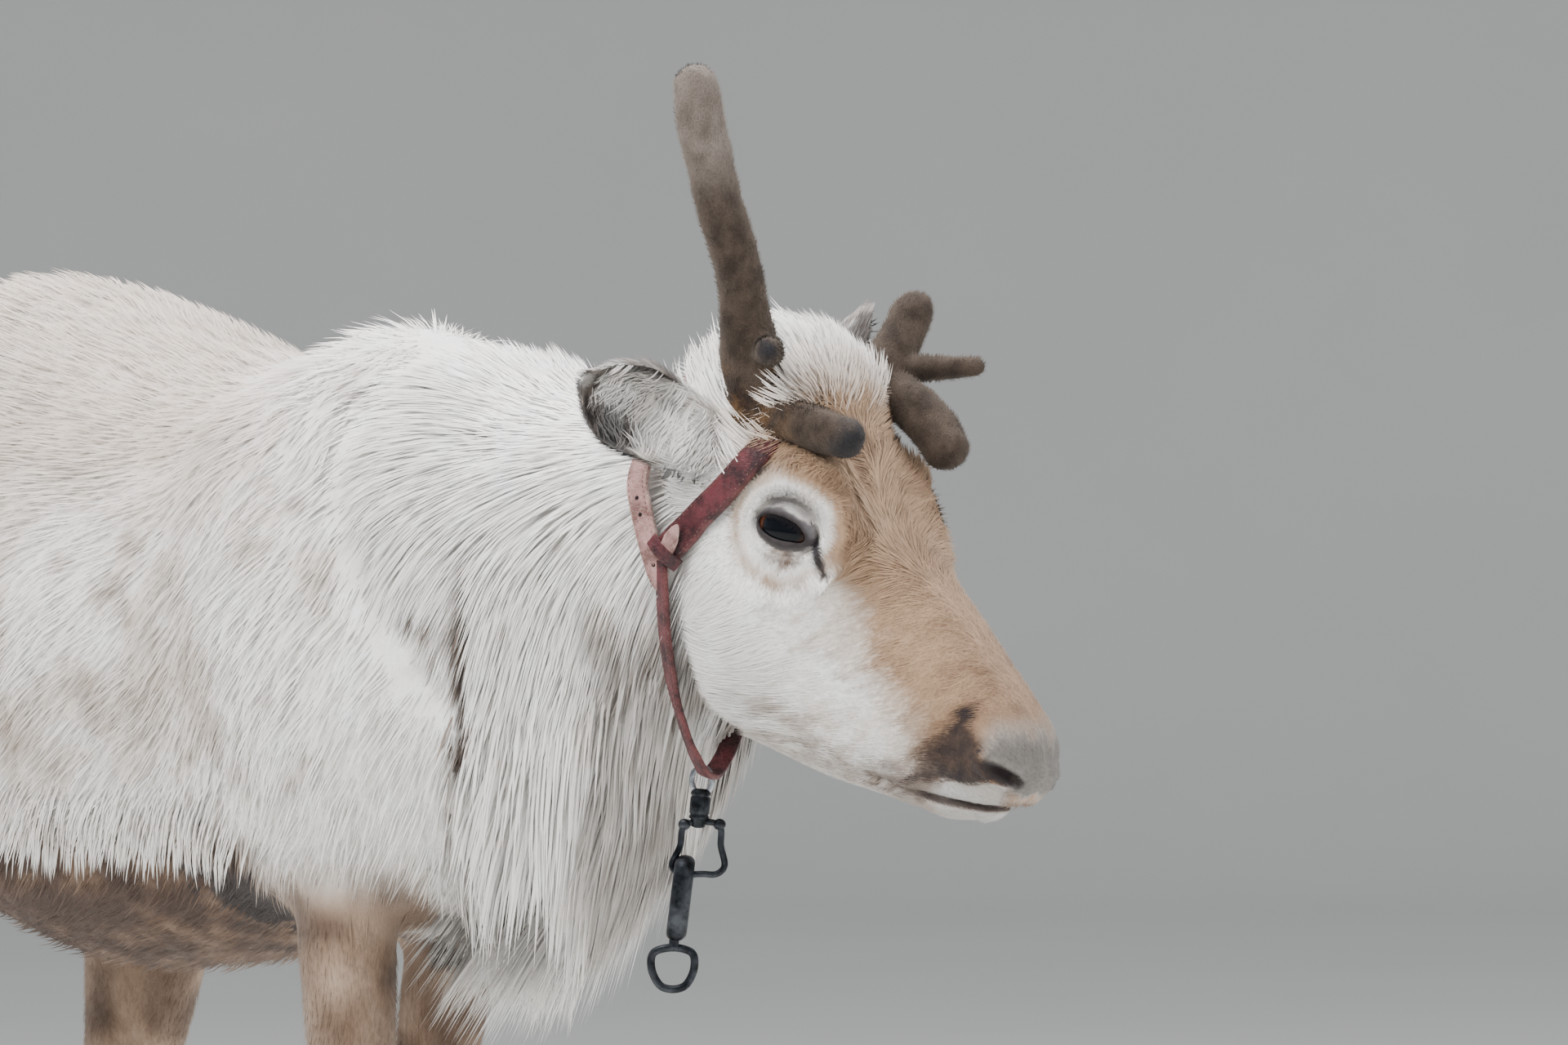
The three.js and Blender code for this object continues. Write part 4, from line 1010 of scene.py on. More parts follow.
def hair_material(name, coat_colours, on_skin):
    """Deer hair, hollow and matt, white with tan, brown and dark shares from the markings. Hair that lies
    on the skin is darker at its roots, painted shade of the coat over them, and differs from strand to
    strand; the skin itself is a little darker, painted shade under the coat, with a fine raised grain."""
    material, tree, shader = new_material(
        name,
        {"Roughness": 0.78, "IOR": 1.4, "Specular IOR Level": 0.25, "Sheen Weight": 0.12, "Sheen Roughness": 0.5},
    )
    shares = add_node(tree, "ShaderNodeSeparateColor", inputs={"Color": stored(tree, "marks", "Color")})
    patches = grains(tree, 26.0)  # slow drift of tone over a hand's breadth of coat
    flecks = grains(tree, 2.4, detail=2.0)  # single hairs, drawn as coarse as the render shows
    white = mixed(tree, ranged(tree, patches, 0.35, 0.7), coat_colours.white, coat_colours.cream)
    colour = mixed(tree, shares.outputs[0], white, coat_colours.tan)
    colour = mixed(tree, shares.outputs[1], colour, coat_colours.brown)
    colour = mixed(tree, stored(tree, "grey"), colour, coat_colours.grey)
    colour = mixed(tree, shares.outputs[2], colour, coat_colours.dark)
    tone = ranged(tree, flecks, 0.3, 0.7, 0.93, 1.04)
    if on_skin:
        # the skin under the coat a little darker: painted shade
        tone = figured(tree, "MULTIPLY", tone, 0.96)
    else:
        # darker towards each tuft's root: painted shade deep in the coat
        tone = figured(tree, "MULTIPLY", tone, ranged(tree, stored(tree, "along"), 0.0, 0.5, 0.9, 1.0))
        tone = figured(tree, "MULTIPLY", tone, ranged(tree, stored(tree, "strand"), 0.0, 1.0, 0.94, 1.03))
    painted(tree, shader, darkened(tree, colour, tone))
    if on_skin:
        bumped(tree, shader, grains(tree, 1.6, (1.0, 1.0, 0.4), 4.0), 0.0012, 0.8)
    return material


def eye_material():
    """The wet front of a deer's eye: blue-black pupil that fills it, brown iris at the rear corner, wet
    gloss."""
    constants = {"Roughness": 0.05, "IOR": 1.34, "Specular IOR Level": 0.3}
    material, tree, shader = new_material("Wet cornea over a dark iris", constants)
    rays = grains(tree, 1.2, detail=4.0)
    pupil = mixed(tree, rays, hex_linear("020306"), hex_linear("05080E"))
    iris = mixed(tree, rays, hex_linear("120A07"), hex_linear("3A2114"))
    colour = mixed(tree, ranged(tree, stored(tree, "rim"), 0.8, 1.0), pupil, iris)
    colour = mixed(tree, ranged(tree, stored(tree, "rear"), 0.66, 0.8), colour, hex_linear("40200F"))
    painted(tree, shader, colour)
    return material


def lid_material():
    """Bare dark lid skin with fine wrinkles and a wet margin that catches the light, and the coat's colours
    further out, where it is haired."""
    material, tree, shader = new_material("Bare lid skin", {"Specular IOR Level": 0.3, "IOR": 1.42})
    bare = mixed(tree, grains(tree, 5.0), hex_linear("1E1B1D"), hex_linear("423C3C"))
    shares = add_node(tree, "ShaderNodeSeparateColor", inputs={"Color": stored(tree, "marks", "Color")})
    coat = mixed(tree, shares.outputs[1], hex_linear("D9D3CB"), hex_linear("7A6252"))
    coat = mixed(tree, shares.outputs[2], coat, hex_linear("35333A"))
    painted(tree, shader, mixed(tree, stored(tree, "haired"), bare, coat))
    tree.links.new(ranged(tree, stored(tree, "wet"), 0.0, 1.0, 0.7, 0.4), shader.inputs["Roughness"])
    bumped(tree, shader, grains(tree, 1.4, detail=5.0), 0.0008, 0.8)
    return material


def velvet_material():
    """Antler in velvet: skin over growing bone, matt and dense, taupe below and frosted above, dark at burr
    and pads."""
    constants = {"Roughness": 0.9, "Specular IOR Level": 0.2, "Sheen Weight": 0.25, "Sheen Roughness": 0.45}
    constants["Sheen Tint"] = [*hex_linear("B9ADA2"), 1.0]
    material, tree, shader = new_material("Velvet skin of a growing antler", constants)
    patches = grains(tree, 16.0, detail=4.0)
    nap = grains(tree, 1.3)
    colour = mixed(tree, ranged(tree, patches, 0.35, 0.65), hex_linear("3A312B"), hex_linear("54483F"))
    colour = mixed(tree, stored(tree, "frost"), colour, hex_linear("8A7F77"))
    torn = mixed(tree, ranged(tree, patches, 0.4, 0.6), hex_linear("2E2320"), hex_linear("6E5236"))
    colour = mixed(tree, stored(tree, "burr"), colour, torn)
    colour = mixed(tree, stored(tree, "pad"), colour, hex_linear("2A2A2E"))
    shade = ranged(tree, nap, 0.3, 0.7, 0.66, 1.0)
    # darker at the nap's roots and on the velvet skin under it, lighter at its tips: painted shade and painted light
    shade = figured(tree, "MULTIPLY", shade, ranged(tree, stored(tree, "along"), 0.0, 1.0, 0.85, 1.4))
    painted(tree, shader, darkened(tree, colour, shade))
    bumped(tree, shader, nap, 0.0012, 0.8)
    return material


def horn_material():
    """Keratin of hoof and dewclaw: dark, half matt, ringed by growth, scuffed paler where it meets the
    ground."""
    material, tree, shader = new_material("Worn hoof horn", {"IOR": 1.54})
    rings = grains(tree, 3.0, (0.15, 0.15, 1.0), 4.0)
    scuffs = grains(tree, 7.0, (1.0, 1.0, 0.5), 5.0)
    height = add_node(tree, "ShaderNodeSeparateXYZ", inputs={0: place_mm(tree)}).outputs[2]
    colour = mixed(tree, rings, hex_linear("201B18"), hex_linear("4B4038"))
    worn = figured(tree, "MULTIPLY", ranged(tree, height, 12.0, 0.0), ranged(tree, scuffs, 0.4, 0.62))
    painted(tree, shader, mixed(tree, worn, colour, hex_linear("8A7C6C")))
    tree.links.new(ranged(tree, scuffs, 0.3, 0.7, 0.38, 0.62), shader.inputs["Roughness"])
    bumped(tree, shader, rings, 0.0008, 0.7)
    return material


def leather_material(name, colour_of, worn_hex, dark_hex):
    """Bridle leather dyed and much handled: fine pores, cracked dye, paler rubbed edges, darker blotches. The
    attribute edge is 1 at the strap's edges."""
    material, tree, shader = new_material(name, {"IOR": 1.5})
    pores = grains(tree, 0.9)
    blotches = grains(tree, 14.0, detail=4.0)
    cracks = add_node(
        tree,
        "ShaderNodeTexVoronoi",
        {"feature": "DISTANCE_TO_EDGE"},
        {"Vector": place_mm(tree), "Scale": 1.0 / 3.2, "Randomness": 1.0},
    ).outputs["Distance"]
    colour = mixed(tree, ranged(tree, blotches, 0.38, 0.62), colour_of, hex_linear(dark_hex))
    worn = ranged(tree, stored(tree, "edge"), 0.35, 1.0)
    rubbed = figured(tree, "MULTIPLY", worn, ranged(tree, blotches, 0.62, 0.4))
    colour = mixed(tree, rubbed, colour, hex_linear(worn_hex))
    colour = mixed(tree, ranged(tree, cracks, 0.05, 0.0, 0.0, 0.45), colour, hex_linear(worn_hex))
    painted(tree, shader, colour)
    tree.links.new(ranged(tree, blotches, 0.3, 0.7, 0.42, 0.62), shader.inputs["Roughness"])
    height = figured(tree, "ADD", figured(tree, "MULTIPLY", pores, 0.4), ranged(tree, cracks, 0.0, 0.12))
    bumped(tree, shader, height, 0.0005, 0.7)
    return material


def plain_material(name, rough, grain, first, second):
    """A matt material that drifts between two colours over grains of that size in millimetres."""
    material, tree, shader = new_material(name, {"Roughness": rough})
    painted(tree, shader, mixed(tree, grains(tree, grain), hex_linear(first), hex_linear(second)))
    return material


def steel_material(name, dark, bright, rough):
    """Drop-forged steel dulled outdoors: grey that drifts between darker and brighter films, spotted
    brown."""
    material, tree, shader = new_material(name, {"Metallic": 1.0})
    spots = grains(tree, 2.2, detail=5.0)
    films = grains(tree, 12.0)
    colour = mixed(tree, ranged(tree, films, 0.35, 0.65), hex_linear(dark), hex_linear(bright))
    colour = mixed(tree, ranged(tree, spots, 0.62, 0.74, 0.0, 0.6), colour, hex_linear("5A4232"))
    painted(tree, shader, colour)
    tree.links.new(ranged(tree, spots, 0.4, 0.8, rough, rough + 0.3), shader.inputs["Roughness"])
    bumped(tree, shader, spots, 0.0004, 0.5)
    return material


# Skin of the head


EYE_LONG = unit(np.array([0.89, 0.0, 0.456]))  # the eye's long axis in the head's frame, towards the muzzle
EYE_TALL = unit(np.array([-0.456, 0.0, 0.89]))
EYE_HALF = (24.0, 17.5, 18.0)  # half length, half height, depth
EYE_AT = (-9.5, 0.5)  # where its middle stands, along and up the head
DUCT = ([13.0, 8.0], [33.0, -3.0])  # the groove of the tear duct, along and up the head
NOSTRIL = (209.0, -13.0)  # its middle, along and up the head


def eye_offsets(h):
    """Along and across the eye's long axis, from its middle, of points in the head's frame."""
    ahead, up = h[..., 0] - EYE_AT[0], h[..., 2] - EYE_AT[1]
    return ahead * EYE_LONG[0] + up * EYE_LONG[2], ahead * EYE_TALL[0] + up * EYE_TALL[2]


def lip_line(x):
    """Height of the closed mouth on the head's side, over the way along the head."""
    return np.interp(x, [120, 160, 186, 205, 220], [-92, -76, -61, -48, -36])


def head_details(grid):
    """Moves the head's surface along its own outward way: sockets pressed in under the lids, the groove of
    the tear duct, folds over the eye, pits and wings of the nostrils, the dimpled chin and upper lip."""
    h = to_head(grid)
    out = unit(np.cross(np.roll(h, -1, 1) - np.roll(h, 1, 1), np.gradient(h, axis=0)))
    side = np.sign(h[..., 1:2]) * Y
    off = np.abs(h[..., 1])
    flank = smoothstep(30, 46, off)
    a, b = eye_offsets(h)
    press = 16 * flank * smoothstep(1.0, 0.72, np.hypot(a / 29, np.where(b > 0, b / 22, b / 18)))
    duct = segment_distance(h[..., [0, 2]], *DUCT)
    lift = -2.6 * flank * hump(duct, 0.0, 3.2) + 1.2 * flank * hump(duct, 7, 3.5)
    around = np.hypot(a / 32, b / 27)
    above = smoothstep(-0.3, 0.5, b / 25) * flank
    lift += above * (1.3 * hump(around, 1.32, 0.09) - 1.7 * hump(around, 1.18, 0.05) - hump(around, 1.52, 0.06))
    ahead, high = h[..., 0] - NOSTRIL[0], h[..., 2] - NOSTRIL[1]
    pit = np.hypot(ahead / 10.5, (high - 0.1 * ahead) / 4.6)
    front = smoothstep(18, 26, off)
    press += 10 * front * smoothstep(1.15, 0.55, pit)
    lift += 2.2 * front * hump(pit, 1.5, 0.42)
    lip = lip_line(h[..., 0])
    hang = smoothstep(lip + 20, lip + 6, h[..., 2]) * smoothstep(140, 172, h[..., 0])
    hang = (hang * smoothstep(230, 214, h[..., 0]))[..., None]  # the upper lip hangs over the lower one
    h = h + 2.0 * side * hang - 8.5 * Z * hang
    over_lip = h[..., 2] - lip
    lift += smoothstep(150, 176, h[..., 0]) * (hump(over_lip, 7, 4.5) - 2.0 * hump(over_lip, 0.5, 2.2))
    lift -= 1.8 * smoothstep(214, 226, h[..., 0]) * hump(off, 0.0, 2.0) * smoothstep(-2, -12, h[..., 2])
    flat = h.reshape(-1, 3)
    lift += (0.7 * noise(flat, 24, 81) + 0.3 * noise(flat, 9, 82)).reshape(lift.shape)
    return in_head(h + out * lift[..., None] - side * press[..., None])


def skin_shapes():
    """Trunk, neck, legs and tail as closed shapes, each inside its solid by its coat's depth."""
    legs = [leg_shape(leg, legs is HIND_LEGS) for legs in (FORE_LEGS, HIND_LEGS) for leg in legs.values()]
    trunk = (torso_shape(TRUNK_COAT), neck_shape(NECK_COAT), tail_shape(TAIL_COAT))
    return [closed_grid(grid) for grid in (*trunk, *legs)]


def squares_of(mesh):
    """Points and faces of a mesh whose faces all have four corners."""
    corners = np.empty(len(mesh.loops), np.int32)
    mesh.loops.foreach_get("vertex_index", corners)
    return read_points(mesh), [corners.reshape(-1, 4)]


SIDES = ((-1, "right"), (1, "left"))
FLESH = ["torso", "neck", "tail", "head", "lower_jaw"]
FLESH += [
    leg + side + part
    for leg in ("foreleg_", "hindleg_")
    for _, side in SIDES
    for part in ("_upper", "_lower")
]
built = {}  # grids and meshes that later pieces stand on


def head_surface():
    """The finished surface of the head, worked out once."""
    if "head" not in built:
        built["head"] = head_details(head_shape(FACE_COAT))
        built["jaw"] = jaw_shape(FACE_COAT)
    return built["head"], built["jaw"]


def body_surface():
    """The finished surface of trunk, neck, tail and legs, worked out once."""
    if "body" not in built:
        built["body"] = united("body_surface", skin_shapes(), 8.0, 4, 0.8)
    return built["body"]


def make_skin():
    """One skin over trunk, neck, legs, tail, head and jaw."""
    head, jaw = head_surface()
    trunk = squares_of(body_surface())
    points, faces = joined([trunk, closed_grid(head), closed_grid(jaw)])
    mesh = mesh_of("reindeer_skin", points, faces)
    count = len(trunk[0])
    marks, grey = body_marks(points[:count])
    face_marks, face_grey = head_marks(points[count:])
    set_marks(mesh, np.vstack([marks, face_marks]), np.concatenate([grey, face_grey]))
    piece("reindeer_skin", mesh, hair_of("skin"), "body_coat", *FLESH)


# Eyes and lids


def eye_frame(side):
    """The middle of one eye in the head's frame, from its solid."""
    low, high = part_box("eye_right" if side < 0 else "eye_left")
    out = to_head((np.array(low) + np.array(high)) * 500.0 - SHIFT)[1]
    return np.array([EYE_AT[0], out, EYE_AT[1]])


def make_eyes():
    """Each eye is an ellipsoid: centre + long x l sin u cos v + tall x t sin u sin v + outward x d cos u,
    with l, t and d its half sizes, swollen a little at its front as a cornea is."""
    material = eye_material()
    for side, name in SIDES:
        centre = eye_frame(side)
        u = np.linspace(0, np.pi, 50)[:, None]
        v = np.linspace(0, 2 * np.pi, 96, endpoint=False)[None, :] * side
        bulge = 1 + 0.05 * np.exp(-((u / 0.75) ** 2))
        ball = [np.sin(u) * np.cos(v), np.sin(u) * np.sin(v), np.cos(u) * np.ones_like(v)]
        axes = np.array([EYE_LONG, EYE_TALL, side * Y]) * np.array(EYE_HALF)[:, None]
        h = centre + (np.stack(ball, -1) * bulge[..., None]) @ axes
        points, faces = closed_grid(in_head(h[::-1]))
        mesh = mesh_of("eyeball_" + name, points, faces)
        a, b = eye_offsets(to_head(read_points(mesh)))
        set_attribute(mesh, "rim", "FLOAT", np.hypot(a / 19.0, b / 11.0))
        set_attribute(mesh, "rear", "FLOAT", np.clip(-a / 19.0, 0, 1))
        piece("eyeball_" + name, mesh, material, "eye_gloss", "eye_" + name)


def side_of_head(tree, x, z, side):
    """How far out the head's surface stands at x and z of the head's frame: a ray from the side."""
    start, way = in_head([x, side * 220.0, z]), headward([0.0, -side, 0.0])
    hit = tree.ray_cast(Vector(start), Vector(way))[0]
    return to_head(np.array(hit))[1] * side if hit else 60.0


def make_lids(draw):
    """Lids: for each angle round the opening, a profile from under the wet margin, over its rounded edge,
    across the fold and out to the head's skin, whose height comes from rays."""
    material = lid_material()
    plain = tree_of([closed_grid(head_shape(FACE_COAT, 150, 140))])
    turn = np.linspace(0, 2 * np.pi, 160, endpoint=False)
    c, s = np.cos(turn), np.sin(turn)
    upper = s > 0
    open_a = 18.8 * c  # the opening between the lids, and the lids' outer edge
    open_b = np.where(upper, 8.3 * np.abs(s) ** 0.88, -6.6 * np.abs(s) ** 0.9) - 1.2 * smoothstep(10, 19, open_a)
    far_a = 32.0 * c
    far_b = np.where(upper, 27.0, 21.0) * s
    rows = np.concatenate([[0.0, 0.0, 0.02, 0.06, 0.11], np.linspace(0.17, 1.0, 16)])
    margins = np.append([-3.0, -0.6, 1.0, 2.3], np.full(len(rows) - 4, 2.6))  # how far each row stands off the eye
    for side, name in SIDES:
        centre = eye_frame(side)
        grid = np.empty((len(rows), len(turn), 3))
        wet, haired = np.empty(grid.shape[:2]), np.empty(grid.shape[:2])
        for i, share in enumerate(rows):
            a = open_a + (far_a - open_a) * share
            b = open_b + (far_b - open_b) * share
            x = EYE_AT[0] + a * EYE_LONG[0] + b * EYE_TALL[0]
            z = EYE_AT[1] + a * EYE_LONG[2] + b * EYE_TALL[2]
            ball = 1.0 - (a / EYE_HALF[0]) ** 2 - (b / EYE_HALF[1]) ** 2
            ball = abs(centre[1]) + EYE_HALF[2] * 1.04 * np.sqrt(np.maximum(ball, 0.0))
            skin = np.array([side_of_head(plain, p, q, side) for p, q in zip(x, z)])
            ease = smoothstep(0.1, 1.0, share)
            high = (ball + margins[i]) * (1 - ease) + (skin + 0.2) * ease
            fold = np.where(upper, hump(share, 0.4, 0.07), 0.4 * hump(share, 0.5, 0.08))
            swollen = np.where(upper, hump(share, 0.22, 0.12), 0.5 * hump(share, 0.25, 0.12))
            high = high - 1.8 * fold + swollen
            grid[i] = np.stack([x, side * high, z], axis=-1)
            wet[i] = smoothstep(0.12, 0.03, share)
            haired[i] = np.where(upper, smoothstep(0.12, 0.3, share), smoothstep(0.22, 0.5, share))
        if side > 0:
            grid, wet, haired = grid[:, ::-1], wet[:, ::-1], haired[:, ::-1]
        i, j = np.meshgrid(np.arange(len(rows) - 1), np.arange(len(turn)), indexing="ij")
        p, q = i * len(turn) + j, i * len(turn) + (j + 1) % len(turn)
        quads = np.stack([p, p + len(turn), q + len(turn), q], axis=-1).reshape(-1, 4)
        spread = in_head(grid.reshape(-1, 3))
        mesh = mesh_of("lids_" + name, spread, [quads])
        set_marks(mesh, *head_marks(spread))
        set_attribute(mesh, "wet", "FLOAT", wet)
        set_attribute(mesh, "haired", "FLOAT", haired)
        solid = piece("lids_" + name, mesh, material, "face_coat").modifiers.new("Thickness", "SOLIDIFY")
        solid.thickness = 0.0012
        solid.offset = -1.0
        make_lid_hair(in_head(grid), side, name, draw)


def make_lid_hair(grid, side, name, draw):
    """Very short hair on the outer part of the lids, away from the opening, and lashes along the upper
    edge."""
    outer = grid[8:, ::-1] if side < 0 else grid[8:]
    roots, normals, share, around = sown(outer, 3400, draw)
    count = len(roots)
    a, b = eye_offsets(to_head(roots))
    away = headward(np.outer(a - 6, EYE_LONG) + np.outer(b + 4, EYE_TALL))
    lie = ruffled(roots, normals, unit(away), 0.3, 0.3, 151)
    long, wide = 4.4 * varied(draw, count), 0.8 * varied(draw, count)
    unwrap = np.stack([share, around], -1)
    coat("lid_hair_" + name, "face_coat", roots, normals, lie, long, wide, math.radians(15.0), head_marks(roots),
         unwrap, draw, rings=1, sink=0.5)
    turn = np.arctan2(*eye_offsets(to_head(grid[3]))[::-1])
    chosen = np.where((turn > 0.25) & (turn < 2.9))[0][::2]
    edge = grid[3][chosen]
    outward = unit(grid[4][chosen] - grid[1][chosen] + headward([0.0, side * 6.0, 0.0]))
    count = len(chosen)
    lie = unit(outward + headward(-EYE_TALL * 0.7 + EYE_LONG * 0.1))
    outward = np.tile(headward([0.0, side, 0.0]), (count, 1))
    dark = np.tile([0.3, 0.5, 1.0], (count, 1))
    long = 8.5 * varied(draw, count, 0.7, 0.5)
    unwrap = np.stack([np.linspace(0, 1, count), np.full(count, 0.5)], -1)
    coat("lashes_" + name, "face_coat", edge, outward, lie, long, 0.6, math.radians(22.0), (dark, np.zeros(count)),
         unwrap, draw, rings=3, sink=0.3)


# Ears


EARS = {
    "right": ([-100, -58, -10], [-158, -150, -6], [0.72, -0.47, 0.2], 120.0),
    "left": ([-100, 58, 0], [-152, 110, 80], [0.85, 0.45, 0.1], 112.0),
}


EAR_ALONG = [0.0, 0.15, 0.35, 0.55, 0.75, 0.88, 0.95, 1.0]
EAR_WIDE = [24.0, 25.0, 27.0, 31.0, 32.0, 26.0, 18.0, 5.0]


def ear_axes(name):
    """Base, along, across and front of one ear, in the body's frame, and its length."""
    base, tip, front, length = EARS[name]
    base, tip, front = in_head(base), in_head(tip), headward(front)
    along = unit(tip - base)
    across = unit(np.cross(along, front))
    return base, along, across, np.cross(across, along), length


def ear_shape(name, wall=2.6):
    """A leaf rolled into a cup. Round each section: a = w cos t; on the back f = -22 p sin t, on the front
    the same less the wall, turned inwards; both lifted by 8 cos^4 t towards the rims, which curl forward. p
    tapers to the tip."""
    base, along, across, front, length = ear_axes(name)
    u = np.linspace(0.0, 1.0, 90)
    width = np.interp(u, EAR_ALONG, EAR_WIDE)
    width = np.convolve(np.pad(width, 4, mode="edge"), np.ones(9) / 9, mode="valid")
    deep = 21.0 * np.interp(u, [0, 0.3, 0.75, 1], [0.85, 1.0, 0.72, 0.2])
    t = np.linspace(0, np.pi, 60)
    c, s = np.cos(t), np.sin(t)
    curl = 9.0 * c**4 * np.interp(u, [0, 0.3, 1], [0.6, 1.0, 0.3])[:, None]
    ripple = 1.2 * np.sin(9 * u + 1.0)[:, None] * c**6
    back_a, back_f = width[:, None] * c, -deep[:, None] * s + curl + ripple
    inner = np.maximum(deep - wall, 0.8)[:, None]
    closed_in = smoothstep(0.5, 0.26, u)[:, None]
    cup_f = -inner * s * (1 - closed_in) + curl * 0.9 + ripple + closed_in * 15 * s + 0.8
    ridges = 0.8 * np.cos(5 * t) * s**2
    cup_a, cup_f = (width[:, None] - wall * 0.6) * c, cup_f + ridges
    a = np.concatenate([back_a, cup_a[:, ::-1]], axis=1)
    f = np.concatenate([back_f, cup_f[:, ::-1]], axis=1)
    shift = (1.02 * u - 0.1)[:, None] * length
    shift = shift - 0.12 * length * (a / 38.0) ** 2 * smoothstep(0.4, 1.0, u)[:, None]
    grid = base + along * shift[..., None] + across * a[..., None] + front * f[..., None]
    return capped(grid)


def ear_marks(points, name):
    """White, with ragged dark brown stretches on the rim, brown specks at the foot, and a greyer cup with
    brown and dark painted shade in its hollow.
    """
    base, along, across, front, length = ear_axes(name)
    away = points - base
    u, a, f = away @ along / length, away @ across, away @ front
    width = np.interp(u, EAR_ALONG, EAR_WIDE)
    rough = noise(points, 8.0, 91)
    low_rim = smoothstep(0.5, 0.68, -a / width + 0.12 * rough) * smoothstep(-12, -5, f)
    low_rim = low_rim * smoothstep(0.34, 0.42, u) * smoothstep(0.9, 0.8, u)
    top_rim = smoothstep(0.72, 0.85, a / width + 0.1 * rough) * smoothstep(-6, 2, f)
    top_rim = top_rim * smoothstep(0.4, 0.45, u) * smoothstep(0.56, 0.5, u)
    dark = np.maximum(0.8 * low_rim, 0.6 * top_rim)
    # the cup's hollow: greyer, and brown and dark as painted shade
    inside = smoothstep(-8, 0, f + 17 * (1 - (a / width) ** 2)) * smoothstep(0.3, 0.45, u)
    tan = 0.3 * smoothstep(0.0, 0.8, noise(points, 18.0, 94))
    brown = 0.7 * inside * smoothstep(-0.4, 0.4, noise(points, 9.0, 95))
    dark = np.maximum(dark, 0.55 * inside * smoothstep(-0.3, 0.4, noise(points, 7.0, 97)))
    foot = smoothstep(0.5, 0.36, u) * smoothstep(0.12, 0.24, u)
    foot = foot * smoothstep(0.0, 0.45, noise(points, 8.0, 96))
    brown = np.maximum(brown, 0.8 * foot * smoothstep(0.25, -0.4, a / width))
    return np.stack([tan, brown, dark], -1), 0.25 * inside


def make_ears(draw):
    """The two cups of ear, each with short fur outside and longer, paler hair standing from the cup."""
    for name in EARS:
        grid = ear_shape(name)
        points, faces = closed_grid(grid)
        mesh = mesh_of("ear_shell_" + name, points, faces)
        set_marks(mesh, *ear_marks(points, name))
        piece("ear_shell_" + name, mesh, hair_of("skin"), "body_coat", "ear_" + name)
        base, along, across, front, length = ear_axes(name)
        roots, normals, share, around = sown(grid[1:-1], 8000, draw)
        u = (roots - base) @ along / length
        cup = ((normals @ front) > 0.3) & (u > 0.42)
        count = len(roots)
        lie = ruffled(roots, normals, along + 0.25 * noise(roots, 12, 96)[:, None] * across, 0.2, 0.2, 97)
        long = np.where(cup, 7.0, 15.0) * varied(draw, count, 0.7, 0.5)
        long = long * np.interp(u, [0.0, 0.5, 0.85, 1.0], [1.4, 1.0, 0.7, 0.5])
        wide = 1.2 * varied(draw, count)
        rise = np.radians(np.where(cup, 24.0, 22.0)) * (1 + 0.3 * noise(roots, 14, 99))
        unwrap = np.stack([share, around], axis=-1)
        coat("ear_fur_" + name, "body_coat", roots, normals, lie, long, wide, rise, ear_marks(roots, name), unwrap,
             draw, rings=1, sink=0.8)

        def below_tip(points):
            return smoothstep(0.85, 0.7, (points - base) @ along / length)

        found = sown(grid[1:-1], 2600, draw, below_tip)
        keep = (found[1] @ front) > 0.25
        roots, normals, share, around = (rows[keep] for rows in found)
        count = len(roots)
        inward = -np.sign((roots - base) @ across)[:, None] * across * 0.8
        lie = along * 0.5 + inward + across * (0.6 * noise(roots, 14, 98))[:, None] + front * 0.3
        lie = unit(lie - normals * (lie * normals).sum(1, keepdims=True))
        marks, grey = ear_marks(roots, name)
        marks = marks * (0.25 + 0.75 * (marks[:, 2:] > 0.6))  # paler than the fur, but for the rim's dark stretches
        long, wide = 26.0 * varied(draw, count, 0.6), 1.5 * varied(draw, count)
        unwrap = np.stack([share, around], axis=-1)
        coat("ear_hair_" + name, "body_coat", roots, normals, lie, long, wide, math.radians(46.0), (marks, grey),
             unwrap, draw)


# Antlers


BURR = np.array([-84.0, 38.0, 16.0])  # the foot of the left antler, in the head's frame
ANTLERS = {
    "right_beam": (
        [[-84, -38, 16], [-92, -48, 36], [-116, -56, 54], [-139, -66, 78]]
        + [[-162, -80, 103], [-196, -96, 131], [-230, -110, 160], [-250, -118, 180]],
        [[27, 25], [27, 25], [23, 24], [19.5, 19], [18, 18], [17.5, 18], [18.5, 18.5], [17, 17]],
        15,
    ),
    "right_brow_tine": (
        [[-92, -48, 34], [-68, -56, 46], [-42, -62, 62], [-22, -66, 74]],
        [[18, 17], [18, 17], [17.5, 17.5], [16, 16]],
        13,
    ),
    "right_bez_tine": (
        [[-112, -58, 66], [-102, -78, 76], [-92, -98, 86], [-87, -110, 91]],
        [[12, 12], [11.5, 11.5], [12.5, 12.5], [12, 12]],
        10,
    ),
    "left_beam": (
        [[-84, 40, 22], [-86, 52, 54], [-92, 64, 78], [-104, 78, 96], [-113, 88, 108]],
        [[26, 24], [25, 24], [20, 19], [17, 17], [16, 16]],
        14,
    ),
    "left_brow_tine": (
        [[-86, 54, 62], [-60, 56, 74], [-32, 54, 78], [-12, 51, 76]],
        [[18, 18], [19, 18], [19, 19], [18.5, 18.5]],
        15,
    ),
    "left_bez_tine": (
        [[-88, 62, 76], [-74, 70, 92], [-60, 78, 106], [-50, 83, 117]],
        [[12, 12], [11, 11], [10.5, 10.5], [9.5, 9.5]],
        9,
    ),
}


def antler_shape(name, depth):
    """One branch: a tube through its stations, drawn in by the velvet's nap."""
    points, radii, dome = ANTLERS[name]
    keys = [[*in_head(p), wide, tall, tall] for p, (wide, tall) in zip(points, radii)]
    across = Z if name == "right_bez_tine" else headward([0, 1, 0])
    return tube(shrunk(keys, depth), 90, 48, across, domes=(0, dome))


